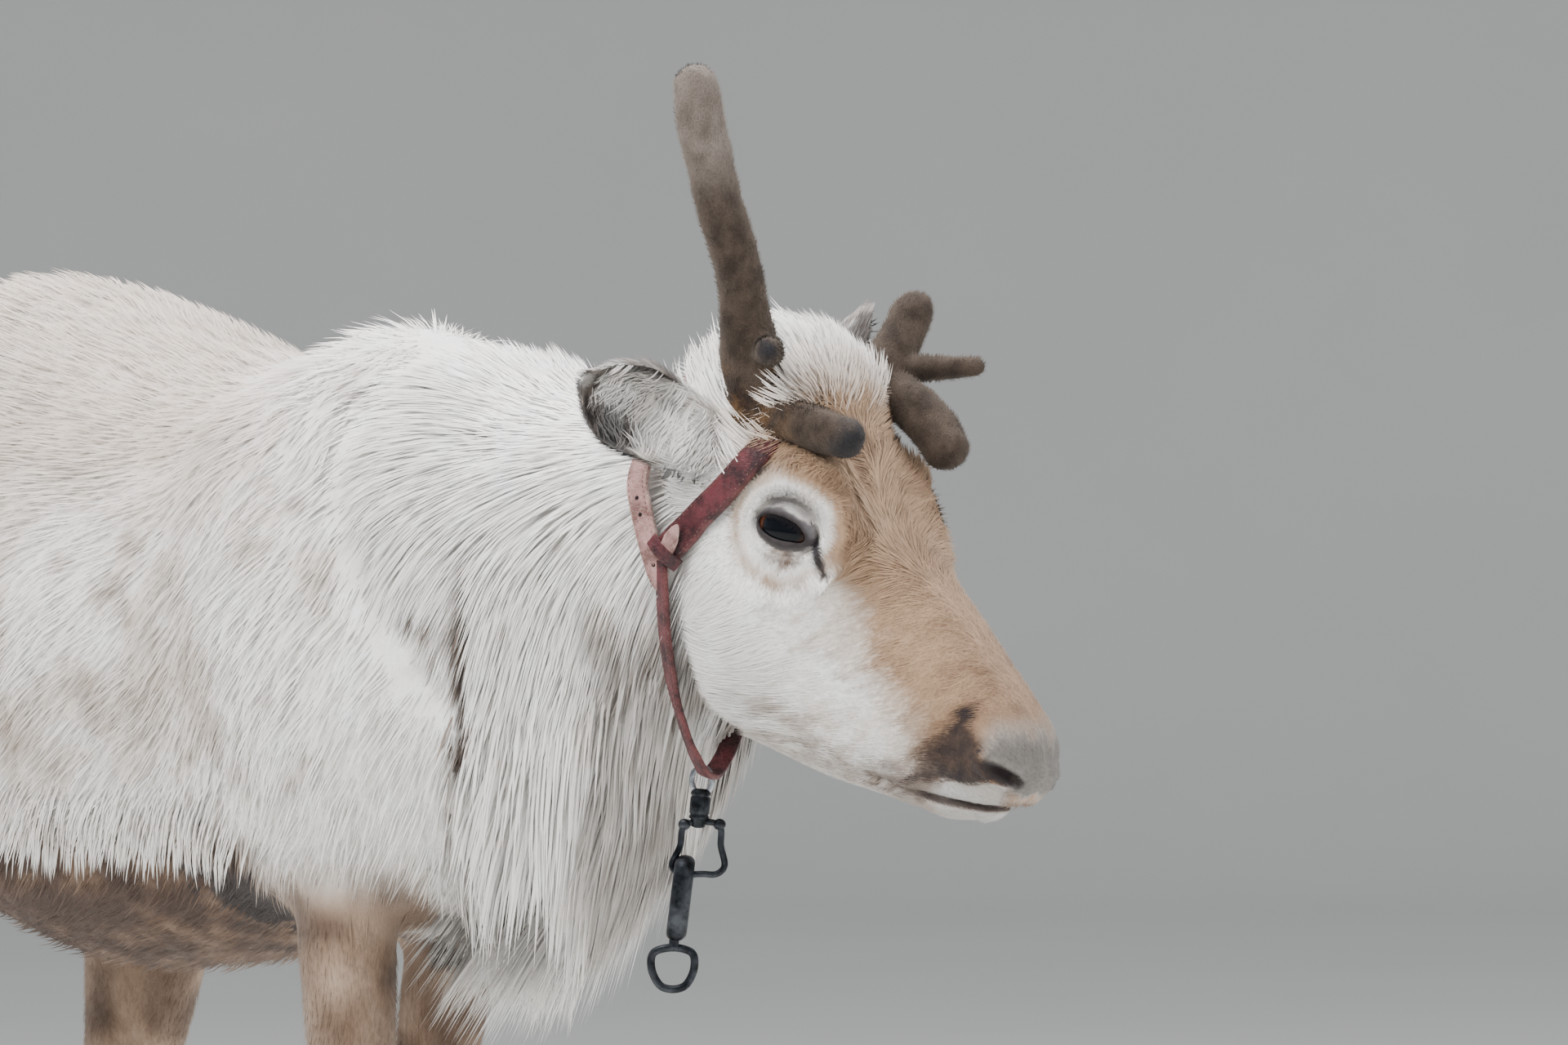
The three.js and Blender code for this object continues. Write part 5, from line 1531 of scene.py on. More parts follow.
def antler_looks(points, side):
    """Frost towards the beam's top, the ragged burr at its foot, and dark pads at the near tine tips."""
    h = to_head(points)
    rise = np.linalg.norm(h - BURR * [1, side, 1], axis=1)
    frost = smoothstep(135, 240, rise + 22 * noise(points, 30, 101)) * (0.75 + 0.25 * noise(points, 8, 102))
    burr = smoothstep(64, 26, rise + 14 * noise(points, 9, 103))
    pad = np.zeros(len(points))
    if side < 0:
        for at, reach in (([-10, -66, 76], 19), ([-80, -124, 97], 14)):
            away = np.linalg.norm(h - at, axis=1) / reach
            pad = np.maximum(pad, 0.9 * smoothstep(1.35, 0.55, away + 0.2 * noise(points, 6, 104)))
    return np.clip(frost, 0, 1), burr, pad


def make_antlers(draw):
    """Beam, brow and bez tine of each side grown together into one skin, knobbed by noise, under a short
    dense nap."""
    material = velvet_material()
    for side, name in SIDES:
        nodes = [n for n in ANTLERS if n.startswith(name)]
        shapes = [closed_grid(antler_shape(n, VELVET_COAT)) for n in nodes]
        mesh = united("velvet_" + name, shapes, 1.9, 6, 0.3)
        points, normals = read_points(mesh), read_normals(mesh)
        foot = in_head(BURR * [1, side, 1])
        near = np.linalg.norm(points - foot, axis=1)
        knobs = noise(points, 17, 105) + 0.6 * noise(points, 8, 106)
        knobs += 2.2 * smoothstep(42, 26, near) * np.abs(noise(points, 7, 107))
        points = points + normals * knobs[:, None]
        write_points(mesh, points)
        mesh.update()
        for label, values in zip(("frost", "burr", "pad"), antler_looks(points, side)):
            set_attribute(mesh, label, "FLOAT", values)
        piece("velvet_skin_" + name, mesh, material, "velvet", *["antler_" + n for n in nodes])
        count = 12500 if side < 0 else 8500
        roots, ups = scattered(mesh, count, evenly, draw)
        beam = in_head(ANTLERS[name + "_beam"][0][-1]) - foot
        lie = ruffled(roots, ups, unit(beam), 0.5, 0.6, 108)
        frost, burr, pad = antler_looks(roots, side)
        rise = np.radians(52 - 20 * pad)
        long, wide = (5.0 + 3.5 * burr) * varied(draw, count), np.full(count, 0.9)
        label = "velvet_nap_" + name
        nap, each, along = tuft_mesh(label, roots, ups, lie, long, wide, rise, draw, rings=1, sink=0.6)
        for looks, values in zip(("frost", "burr", "pad"), (frost, burr, pad)):
            set_attribute(nap, looks, "FLOAT", np.repeat(values, each))
        h = to_head(roots)
        middle = np.interp(h[:, 2], [16, 180], [38 * side, 100 * side])
        turn = np.arctan2(h[:, 1] - middle, h[:, 0] + 100) / (2 * np.pi)
        tuft_uv(nap, np.stack([np.clip((h[:, 2] + 20) / 230, 0, 1), turn + 0.5], -1), each, along)
        piece(label, nap, material, "velvet")


# Hooves


def hoof_shape(x, y, inner, splay=4.0):
    """One claw: sections square to the ground's forward axis, cut flat where it stands, with faint rings of
    growth."""
    sole = [[-34, 14, 15, 40], [-12, 17, 21, 52], [14, 19, 21, 46], [38, 17, 16, 30], [56, 11, 8, 14]]
    keys = [[x + at, y + inner * (out + splay), -2, half, high, 6] for at, out, half, high in sole]
    grid = tube(keys, 60, 56, Y, along=X, square=2.2, domes=(8, 8))
    height = grid[..., 2]
    ring = 0.45 * np.sin(height * 1.7 + 0.05 * grid[..., 0])
    middle = np.array([x + 8, y + inner * (16 + splay), 0.0])
    out = unit((grid - middle) * [1, 1, 0] + 1e-6)
    grid = grid + out * (ring * smoothstep(2, 8, height))[..., None]
    grid[..., 2] = np.maximum(grid[..., 2], 0.0)
    return grid


def dewclaw_shape(x, y, inner):
    """One dewclaw: a short tube that hangs behind the pastern."""
    keys = [[-18, 12, 78, 10, 9], [-33, 17, 58, 11, 10], [-42, 19, 36, 9, 7], [-44, 19, 20, 4, 3]]
    keys = [[x + at, y + inner * out, z, wide, deep, deep] for at, out, z, wide, deep in keys]
    return tube(keys, 40, 36, Y, domes=(2, 3))


def make_hooves():
    """The eight claws and eight dewclaws."""
    material = horn_material()
    for legs, which in ((FORE_LEGS, "fore"), (HIND_LEGS, "hind")):
        for name, leg in legs.items():
            for inner in (-1, 1):
                where = "outer" if inner * leg["side"] > 0 else "inner"
                label = which + "_" + name + "_" + where
                y = leg["side"] * leg["out"]
                for kind, shape in (("hoof", hoof_shape), ("dewclaw", dewclaw_shape)):
                    points, faces = closed_grid(shape(leg["foot"], y, inner))
                    mesh = mesh_of(kind + "_shell_" + label, points, faces)
                    piece(kind + "_shell_" + label, mesh, material, "hoof_horn", kind + "_" + label)


# Headstall


JOIN = [-63.0, 79.0, -79.0]  # where the straps meet below each ear, in the head's frame
STRAP_PROUD = 3.0  # how far a strap's middle line stands off the head
POLL_HALF, POLL_SINK = 48.0, 6.5  # within this angle of the crown they lie that much deeper, under hair


def smoothed_rows(rows, passes):
    """Rows of points evened by a running mean of three."""
    for _ in range(passes):
        padded = np.vstack([rows[:1], rows, rows[-1:]])
        rows = (2 * rows + padded[:-2] + padded[2:]) / 4
    return rows


def over_crown(tree, route, steps):
    """The strap's middle line and outward ways: rays at each station and angle of the route, mirrored over
    the crown."""
    mirrored = route + [[x, -angle] for x, angle in route[::-1][1:]]
    plan = catmull(np.array([[x, angle, 0.0] for x, angle in mirrored]), np.linspace(0, 1, steps))
    hits, outs = [], []
    for x, angle, _ in plan:
        turn = math.radians(angle)
        out = headward([0.0, math.sin(turn), math.cos(turn)])
        hit, normal = tree.ray_cast(Vector(in_head([x, 0, -40]) + out * 420), Vector(-out))[:2]
        hits.append(np.array(hit))
        outs.append(np.array(normal))
    outs = unit(smoothed_rows(np.array(outs), 24))
    sunk = np.where(np.abs(plan[:, 1:2]) > POLL_HALF, 0.0, POLL_SINK)
    lift = smoothed_rows(STRAP_PROUD - sunk, 30)
    return smoothed_rows(np.array(hits), 8) + outs * lift, outs


def run_along(points):
    """How far along the line each point lies."""
    return np.concatenate([[0], np.cumsum(np.linalg.norm(np.diff(points, axis=0), axis=1))])


def strap_frames(points, outs):
    """Forward, side and top along a strap's middle line."""
    forward = unit(np.gradient(points, axis=0))
    side = unit(np.cross(outs, forward))
    return forward, side, np.cross(forward, side)


def strap_mesh(name, points, outs, width, thick, ends=(0.0, 0.0)):
    """A strap with rounded edges: each section is a squared oval |a|^5 + |b|^5 = 1 of half width and half
    thickness, bent up and down a little along its length. ends draw a point out of either end."""
    _, side, top = strap_frames(points, outs)
    t = np.linspace(0, 2 * np.pi, 36, endpoint=False)
    a, b = (np.sign(v) * np.abs(v) ** 0.4 for v in (np.cos(t), np.sin(t)))
    run = run_along(points)
    wide = 0.5 * width * np.ones(len(points))
    for end, way in zip(ends, (run, run[-1] - run)):
        if end:
            wide *= np.sqrt(np.clip(way / end, 0.02, 1.0))
    stir = 0.35 * noise(points, 22, 111)
    crown = 0.25 * (1 - a**2)
    grid = (
        points[:, None, :]
        + side[:, None, :] * (wide[:, None] * a)[..., None]
        + top[:, None, :] * (0.5 * thick * b + stir[:, None] + crown * (b > 0))[..., None]
    )
    mesh = mesh_of(name, *closed_grid(capped(grid)))
    edge = np.concatenate([np.tile(np.abs(a) ** 6, len(points)), [0, 0]])
    set_attribute(mesh, "edge", "FLOAT", edge)
    return mesh


STITCH_STEP = 4.0


def seam(name, points, outs, offset, thick):
    """Stitches: long eight-faced beads laid along the strap at an offset to either side of its middle."""
    run = run_along(points)
    at = np.arange(run[0] + 6, run[-1] - 6, STITCH_STEP)

    def at_steps(rows):
        return np.stack([np.interp(at, run, rows[:, i]) for i in range(3)], axis=-1)

    middle = at_steps(points)
    axes = np.stack([unit(at_steps(way)) for way in strap_frames(points, outs)], axis=1)
    bead = np.array([[1.45, 0, 0], [0, 0.5, 0], [0, 0, 0.45], [0, -0.5, 0], [0, 0, -0.45], [-1.45, 0, 0]])
    tri = np.array([[0, 1, 2], [0, 2, 3], [0, 3, 4], [0, 4, 1], [5, 2, 1], [5, 3, 2], [5, 4, 3], [5, 1, 4]])
    rows = []
    for away in (-offset, offset):
        centre = middle + axes[:, 1] * away + axes[:, 2] * (thick * 0.5 + 0.05)
        beads = centre[:, None] + bead @ axes
        starts = (np.arange(len(at)) * len(bead))[:, None, None]
        rows.append((beads.reshape(-1, 3), [(tri + starts).reshape(-1, 3)]))
    return mesh_of(name, *joined(rows))


def make_headstall(trims):
    """Crown strap, the slacker strap behind it, and the throat strap that carries the ring."""
    tree = tree_of([closed_grid(neck_shape(0.0, 60, 90)), closed_grid(head_shape(0.0, 120, 120))])
    red = leather_material("Burgundy bridle leather", trims.leather, "5E3230", "260F13")
    pink = leather_material("Bridle leather faded pink", trims.faded_leather, "B9A096", "6A4A45")
    thread = plain_material("Waxed thread", 0.6, 3.0, "4A302C", "7C5E54")
    front = [[-64, -118], [-64, -105], [-63, -91], [-60, -72], [-60, -56]]  # x and angle of each station
    front += [[-66, -44], [-94, -26], [-114, -12], [-118, 0]]
    crown = over_crown(tree, front, 190)
    rear = [[-48, -131], [-62, -123.5], [-79, -117], [-98, -111.5]]
    rear += [[-120, -104], [-138, -80], [-146, -40], [-147, 0]]
    nape = over_crown(tree, rear, 170)
    loop = [[JOIN[0], -JOIN[1], JOIN[2] - 4], [-48, -76, -98], [-29, -66, -123]]
    loop += [[-8, -50, -150], [14, -43, -166]]
    loop += [[32, -36, -177], [43, -22, -185], [30, 8, -181], [6, 36, -162], [-22, 62, -130], [-46, 75, -100]]
    loop += [[JOIN[0], JOIN[1], JOIN[2] - 4]]
    throat = catmull(in_head(loop), np.linspace(0, 1, 150))
    throat = (throat, unit(throat - in_head([-20, 0, -70])))
    straps = {  # middle line, leather, width, thickness, pointed ends, and the stitches' way from the middle
        "crown": (crown, red, 21.0, 5.5, (0.0, 0.0), 8.2),
        "nape": (nape, pink, 16.0, 5.0, (14.0, 0.0), 5.6),
        "throat": (throat, red, 13.0, 4.5, (0.0, 0.0), 4.4),
    }
    for name, (line, leather, wide, thick, ends, _) in straps.items():
        mesh = strap_mesh("headstall_" + name, *line, wide, thick, ends)
        piece("headstall_" + name, mesh, leather, "strap_leather", "strap_" + name)
    for end, name in ((0, "right"), (-1, "left")):
        at, out = crown[0][end], crown[1][end]
        up = unit(crown[0][12 if end == 0 else -13] - at)
        aside = unit(np.cross(out, up))
        t = np.linspace(-1, 1, 24)[:, None]
        band = at + up * 2.0 + aside * (13.0 * t) + out * (6.0 - 4.5 * t**2)
        label = "headstall_keeper_" + name
        piece(label, strap_mesh(label, band, unit(out + aside * t * 0.6), 10.0, 2.4), red, "strap_leather")
        t = np.linspace(0, 1, 20)[:, None]
        tab = at + up * (6 + 20 * t) + out * (5.0 + 7.0 * t) - aside * (np.sign(at[1]) * 4.0 * t)
        label = "headstall_tab_" + name
        mesh = strap_mesh(label, tab, np.tile(out - up * 0.3, (len(t), 1)), 11.0, 2.6, (0.0, 12.0))
        piece(label, mesh, pink, "strap_leather")
    # holes punched in the faded strap, drawn as dark discs on its face: painted shade of the holes
    hole_shades = []
    steps = [14, 20, 34, 40, 54, 60]  # rows of the strap, from either end
    turn = np.linspace(0, 2 * np.pi, 12, endpoint=False)[:, None]
    for k in steps + [-1 - k for k in steps]:
        middle, out = nape[0][k], nape[1][k]
        way = unit(nape[0][k + 1] - middle)
        across = unit(np.cross(out, way))
        rim = middle + out * 2.7 + 1.5 * (way * np.cos(turn) + across * np.sin(turn))
        hole_shades.append(closed_grid(capped(np.stack([rim, rim + out * 0.2]))))
    hole_shade = new_material("Painted shade of a punched hole", {"Base Color": [*hex_linear("1A0F10"), 1.0], "Roughness": 0.9})[0]
    piece("strap_hole_shades", mesh_of("strap_hole_shades", *joined(hole_shades)), hole_shade, "strap_leather")
    for name, (line, _, _, thick, _, offset) in straps.items():
        piece("stitching_" + name, seam("stitching_" + name, *line, offset, thick), thread, "strap_leather")


# Steel below the throat


RING_AT = in_head([43, -24, -191])


def in_steel(r, z, away=0.0):
    """A point of the fittings' own plane: r to the right and z up from the middle of the top ring."""
    return RING_AT + PHOTO_RIGHT * r + PHOTO_AWAY * away + Z * z


def bar(points, radius, across, steps=96, sides=20, squash=1.0):
    """A bar bent round a closed curve: Catmull-Rom through the points, with a round or oval section."""
    p = np.asarray(points, float)
    u = np.linspace(0, len(p), steps, endpoint=False)
    i = u.astype(int)
    f = (u - i)[:, None]
    before, start, end, after = (p[(i + k) % len(p)] for k in (-1, 0, 1, 2))
    line = 0.5 * (
        2 * start + (end - before) * f + (2 * before - 5 * start + 4 * end - after) * f**2
        + (3 * start - before - 3 * end + after) * f**3
    )
    forward = unit(np.roll(line, -1, 0) - np.roll(line, 1, 0))
    side = unit(across - forward * (forward @ across)[:, None])
    top = np.cross(forward, side)
    t = np.linspace(0, 2 * np.pi, sides, endpoint=False)
    round_ = side[:, None] * (squash * np.cos(t))[:, None] + top[:, None] * np.sin(t)[:, None]
    return line[:, None] + radius * round_


def turned(profile, start, axis, sides=48):
    """A profile of (how far along, radius) turned about an axis from start."""
    ahead, radius = np.asarray(profile, float).T[:, :, None, None]
    axis = unit(np.asarray(axis, float))
    side = unit(np.cross(axis, PHOTO_AWAY))
    top = np.cross(axis, side)
    t = np.linspace(0, 2 * np.pi, sides, endpoint=False)
    round_ = side * np.cos(t)[:, None] + top * np.sin(t)[:, None]
    return start + axis * ahead + round_ * radius


def make_fittings():
    """Ring, swivel barrel with its collar, the link, the snap hook and its open eye."""
    dull = steel_material("Forged steel dulled outdoors", "1E2023", "4A4D52", 0.36)
    bright = steel_material("Forged steel rubbed bright", "6E7175", "B0B3B8", 0.24)
    turn = np.linspace(0, 2 * np.pi, 16, endpoint=False)
    ring = bar([in_steel(7 * math.cos(a), 9 * math.sin(a)) for a in turn], 2.0, PHOTO_AWAY)
    down = in_steel(-2, -25) - in_steel(-0.5, -5.5)
    barrel = [[0, 0], [0, 3.6], [0.6, 5.4], [1.6, 6.4], [3, 6.9], [4.2, 6.9], [4.8, 6.2], [5.6, 6.2]]
    barrel += [[6.2, 6.9], [16.6, 7], [17.4, 6.3], [18.4, 6.3], [19, 6.9], [20.4, 6.8], [21.4, 5.4], [23, 4.9], [26.2, 4.6]]
    barrel += [[27, 2.6], [27.2, 0]]
    swivel = closed_grid(turned(barrel, in_steel(-0.5, -5.5), down))
    link_at = [[-11, -30], [-15, -45], [-20.5, -58], [-14, -64], [0, -64]]
    link_at += [[10, -64], [15.5, -58], [13, -45], [11, -30]]
    link = ring_grid(bar([in_steel(r, z) for r, z in link_at], 2.3, PHOTO_AWAY, 120))
    u = np.linspace(0, np.pi, 20)
    knuckle = np.stack([4.4 - 4.4 * np.cos(u), 4.0 * np.sin(u)], -1)
    knuckles = [closed_grid(turned(knuckle, in_steel(r - 4.4, -30), PHOTO_RIGHT)) for r in (-12, 12)]
    snap_at = [[-9, -61], [0, -56], [9, -61], [10, -82], [6, -99], [0, -105], [-6, -99], [-10, -82]]
    snap_at = [in_steel(0.12 * (z + 55) - 11.5, z, away) for away, z in snap_at]
    snap = ring_grid(bar(snap_at, 5.2, PHOTO_RIGHT, 140, 28, 1.35))
    eye_at = [[-33, -118], [-20, -114.5], [-7, -118], [-5.5, -129]]
    eye_at += [[-11, -140], [-20, -143], [-29, -140], [-34.5, -129]]
    eye = ring_grid(bar([in_steel(r, z) for r, z in eye_at], 2.8, PHOTO_AWAY, 120))
    neck = [[0, 0], [0, 3.6], [1, 4.2], [2, 3.6], [8.5, 3.4], [9.5, 4.4], [11, 4.4], [11.4, 0]]
    neck = closed_grid(turned(neck, in_steel(-18.6, -104), in_steel(-19.5, -115) - in_steel(-18.6, -104)))
    made = {"ring": ring_grid(ring), "swivel": swivel, "link": joined([link, *knuckles])}
    made.update({"snap": snap, "snap_eye": joined([eye, neck])})
    for name, shape in made.items():
        steel = bright if name == "ring" else dull
        piece("steel_" + name, mesh_of("steel_" + name, *shape), steel, "fitting_steel", name)


# Coats of the body


def neckness(points):
    """0 on the trunk and 1 on the neck, over a line that slants back from the withers to the chest."""
    x, z = points[:, 0], points[:, 2]
    return smoothstep(-30, 60, x - (10 + 140 * smoothstep(1010, 760, z)))


def body_lie(points):
    """The way the hair points: back and down over trunk and neck, straight down the rump and legs."""
    x, z = points[:, 0], points[:, 2]
    trunk = np.outer(-0.15 - 0.75 * smoothstep(1000, 750, z), Z) - X
    belly = smoothstep(620, 560, z)[:, None]
    trunk = trunk * (1 - belly) + np.array([-1.0, 0, -0.1]) * belly
    rump = smoothstep(-640, -740, x)[:, None]
    trunk = trunk * (1 - rump) + np.array([-0.3, 0, -1.0]) * rump
    shoulder = smoothstep(-170, -60, x)[:, None] * (1 - belly)
    trunk = trunk * (1 - shoulder) + np.array([-0.6, 0, -0.9]) * shoulder
    high = smoothstep(830, 940, z)[:, None]
    neck = np.array([-0.45, 0, -1.0]) * (1 - high) + np.array([-0.85, 0, -0.55]) * high
    share = neckness(points)[:, None]
    lie = trunk * (1 - share) + neck * share
    leg = legness(points)[:, None]
    return lie * (1 - leg) + np.array([-0.15, 0, -1.0]) * leg


MIDDLE_X = -420.0  # between the fore and hind legs


def body_unwrap(points):
    """Trunk and neck round their long axis, each leg round its own, side by side on the map."""
    uv = wrapped(points, [-900, 0, 800], [430, 0, 850], (0.01, 0.01), (0.6, 0.99))
    leg = legness(points) > 0.5
    chart = 0
    for legs in (FORE_LEGS, HIND_LEGS):
        for one in legs.values():
            mine = leg & (np.sign(points[:, 1]) == one["side"])
            mine = mine & ((points[:, 0] > MIDDLE_X) == (legs is FORE_LEGS))
            x = np.interp(points[:, 2], [0, 660], [one["foot"], one["top"]])
            turn = np.arctan2(points[:, 1] - one["side"] * one["out"], points[:, 0] - x) / (2 * np.pi) + 0.5
            low = 0.62 + 0.095 * chart
            around = np.stack([low + 0.085 * turn, 0.01 + 0.98 * np.clip(points[:, 2] / 680, 0, 1)], -1)
            uv = np.where(mine[:, None], around, uv)
            chart += 1
    return uv


def on_trunk(points):
    """How dense the coat is on the trunk, thinner below."""
    return (1 - neckness(points)) * (1 - legness(points)) * (1 - 0.45 * smoothstep(610, 560, points[:, 2]))


def on_neck(points):
    """How dense the coat is on the neck."""
    return neckness(points) * (1 - legness(points)) * outside_skull(points)


def on_flank_edge(points):
    """How dense the fringe is along the lower edge of the flank's white coat."""
    x, z = points[:, 0], points[:, 2]
    band = smoothstep(632, 642, z) * smoothstep(690, 668, z)
    return band * smoothstep(-30, -90, x) * (1 - legness(points))


def make_body_coat(settings, draw):
    """Two layers over trunk and neck, a dense flat one of straight hairs and a looser curved one, and short
    hair down the legs. Each layer gives count, density, length and width in millimetres, rise in degrees,
    rings of each tuft, and how far slow and quick noise stir its lie."""
    trunk, neck = settings.trunk_length, settings.neck_length
    layers = [
        ("trunk_under", 62000, on_trunk, trunk * 0.72, 2.0, 11.0, 1, 0.2, 0.14),
        ("trunk_over", 16000, on_trunk, trunk * 0.95, 1.5, 20.0, 2, 0.24, 0.2),
        ("neck_under", 36000, on_neck, neck * 0.68, 2.2, 12.0, 1, 0.12, 0.08),
        ("neck_over", 13000, on_neck, neck * 0.95, 1.6, 21.0, 2, 0.14, 0.14),
        ("leg_coat", 34000, legness, settings.leg_length, 1.5, 17.0, 1, 0.28, 0.3),
    ]
    for name, count, density, length, wide, rise, rings, broad, fine in layers:
        roots, normals = scattered(body_surface(), count, density, draw)
        high = roots[:, 2]
        low = smoothstep(480, 330, high) if name == "leg_coat" else 0.4 * smoothstep(640, 600, high)
        long = length * (1 - 0.4 * low) * varied(draw, count, 0.72, 0.5) * (1 + 0.16 * noise(roots, 26, 121))
        lifted = np.radians(rise) * (1 + 0.35 * noise(roots, 34, 122) + 0.2 * noise(roots, 12, 124))
        width = wide * varied(draw, count)
        lie = ruffled(roots, normals, body_lie(roots), broad, fine, 123)
        looks = body_marks(roots + lie * long[:, None] * 0.5)  # as at the middle of each hair
        coat(name, "body_coat", roots, normals, lie, long, width, lifted, looks, body_unwrap(roots), draw,
             rings=rings, sink=2.0)


def make_fringe(draw):
    """The flank's white coat ends in a fringe that hangs over the shorter brown hair of the belly."""
    count = 4200
    roots, normals = scattered(body_surface(), count, on_flank_edge, draw)
    lie = ruffled(roots, normals, np.array([-0.45, 0.0, -1.0]), 0.22, 0.2, 161)
    long = (44 + 10 * noise(roots, 24, 162)) * varied(draw, count, 0.7, 0.5)
    wide = 2.0 * varied(draw, count)
    marks, grey = body_marks(roots + 24 * Z)
    coat("flank_fringe", "body_coat", roots, normals, lie, long, wide, math.radians(30.0), (0.6 * marks, grey),
         body_unwrap(roots), draw, sink=3.0)


def outside_skull(points):
    """1 outside the head's own solid and 0 well inside it, so that no neck hair starts in the skull."""
    h = to_head(points)
    x, y, z = h.T
    keys = np.array(HEAD_KEYS)
    top, bottom, half = (np.interp(x, keys[:, 0], keys[:, i]) for i in (1, 2, 3))
    middle, tall = (top + bottom) / 2, (top - bottom) / 2
    away = np.hypot(y / half, (z - middle) / tall)
    return np.where((x > -130) & (x < 240), smoothstep(0.75, 0.95, away), 1.0)


def make_beard(settings, draw):
    """Long hair from the brisket to the throat: leaves the neck along its lie and falls, in locks whose
    hairs share one bend."""
    grid = neck_shape(NECK_COAT, 300, 360)  # a ring for each 1/299 of the way, after 8 of its dome, a row per degree
    count = 4000
    t = 0.2 + 0.56 * draw.random(count) ** 0.9
    angle = 62 * (draw.random(count) + draw.random(count) - 1) - 90
    i = 8 + (t * 299).astype(int)
    j = np.round(angle).astype(int) % 360
    roots = grid[i, j]
    normals = unit(np.cross(grid[i, (j + 1) % 360] - grid[i, j - 1], grid[i + 1, j] - grid[i - 1, j]))
    lie = ruffled(roots, normals, np.array([-0.45, 0.0, -0.9]), 0.2, 0.16, 131)
    middle = np.clip(1 - np.abs(angle + 90) / 66, 0, 1)
    profile = 0.42 + 0.58 * np.cos(np.pi * np.clip(1.35 * (t - 0.42), -0.3, 0.5))
    long = settings.beard_length * (0.42 + 0.58 * middle) * profile * varied(draw, count, 0.75, 0.4)
    wide = 3.4 * varied(draw, count, 0.6)
    fall = 0.1 * np.stack([noise(roots, 30, 132 + k) for k in range(3)], -1) - 0.5 * Z
    marks, grey = body_marks(roots)
    coat("beard", "body_coat", roots, normals, lie, long, wide, math.radians(26.0), (0.7 * marks, grey),
         body_unwrap(roots), draw, bend=fall, rings=3, sink=4.0, flat=0.4)


def head_lie(h):
    """The way the hair points on the head: down the cheeks, back over the crown, up the bridge from the
    nose."""
    x, y, z = h.T
    side = np.sign(y)
    lie = np.outer(0.9 * side * smoothstep(4, 20, np.abs(y)), Y) + [-0.4, 0.0, -0.9]
    muzzle = smoothstep(150, 195, x)[:, None]
    lie = lie * (1 - muzzle) + (np.outer(0.3 * side, Y) + [-1.0, 0.0, -0.15]) * muzzle
    crown = smoothstep(-60, -100, x)[:, None]
    lie = lie * (1 - crown) + np.array([-0.9, 0, -0.4]) * crown
    under = (smoothstep(-70, -110, z) * smoothstep(150, 60, x))[:, None]
    return lie * (1 - under) + np.array([-0.8, 0.0, -0.5]) * under


def face_room(points):
    """Where hair may start on the head, more of it where it is finest: none in eyes, nostrils, lips or the
    neck."""
    h = to_head(points)
    off = np.abs(h[:, 1])
    a, b = eye_offsets(h)
    opening = smoothstep(0.85, 1.05, np.hypot(a / 28, np.where(b > 0, b / 21, b / 16)))
    opening = np.where(off > 40, opening, 1.0)
    pit = np.hypot((h[:, 0] - NOSTRIL[0]) / 10, (h[:, 2] - NOSTRIL[1]) / 5)
    nostril = np.where(off > 20, smoothstep(0.9, 1.3, pit), 1.0)
    buried = smoothstep(-160, -120, h[:, 0])
    nape = np.where(h[:, 2] < -60, smoothstep(-90, -30, h[:, 0]), 1.0)
    fine = 1 + 0.8 * smoothstep(60, 20, np.hypot(a, b)) + 0.8 * smoothstep(120, 190, h[:, 0])
    return opening * nostril * buried * nape * fine


def make_head_coat(settings, draw):
    """Short hair over head and jaw, finest round eyes and nostrils, wavy on the forehead, none inside eye
    or nostril."""
    for name, surface, count in zip(("face_coat", "jaw_coat"), head_surface(), (52000, 8000)):
        roots, normals, share, around = sown(surface, count, draw, face_room)
        h = to_head(roots)
        a, b = eye_offsets(h)
        forehead = smoothstep(-4, 22, h[:, 2]) * smoothstep(96, 40, h[:, 0]) * smoothstep(-110, -60, h[:, 0])
        aside = smoothstep(56, 36, np.hypot(a, b)) * (np.abs(h[:, 1]) > 35)
        away = unit(np.outer(a, EYE_LONG) + np.outer(b, EYE_TALL) + 1e-6)
        way = head_lie(h) * (1 - aside)[:, None] + 1.6 * away * aside[:, None]
        wavy = forehead[:, None]
        lie = ruffled(roots, normals, headward(way), 0.22 + 0.5 * wavy, 0.16 + 0.45 * wavy, 141)
        eye_near = smoothstep(62, 30, np.hypot(a, b)) * (np.abs(h[:, 1]) > 35)
        muzzle = smoothstep(130, 200, h[:, 0])
        crown = smoothstep(-40, -95, h[:, 0])
        cheek = smoothstep(-30, -80, h[:, 2]) * smoothstep(110, 30, h[:, 0])
        forehead = forehead * (1 - eye_near)
        long = 1 - 0.5 * eye_near - 0.45 * muzzle + 1.1 * crown + 0.9 * cheek + 0.9 * forehead
        long = settings.face_length * long * varied(draw, count, 0.75, 0.5)
        wide = 1 - 0.25 * muzzle - 0.2 * eye_near + 0.35 * crown + 0.4 * forehead
        wide = 1.15 * wide * varied(draw, count)
        rise = np.radians(15 + 5 * crown + 4 * cheek + 11 * forehead) * (1 + 0.3 * noise(roots, 18, 142))
        unwrap = np.stack([share, around], -1)
        coat(name, "face_coat", roots, normals, lie, long, wide, rise, head_marks(roots), unwrap, draw,
             rings=1, sink=0.8)


def on_nape(points):
    """How dense the long hair behind the poll is."""
    x, _, z = to_head(points).T
    return smoothstep(-215, -190, x) * smoothstep(-112, -130, x) * smoothstep(-50, -20, z)


def on_crown(points):
    """How dense the long hair between and behind the antlers is."""
    x, _, z = to_head(points).T
    return smoothstep(-50, -80, x) * smoothstep(-150, -130, x) * smoothstep(-20, 20, z)


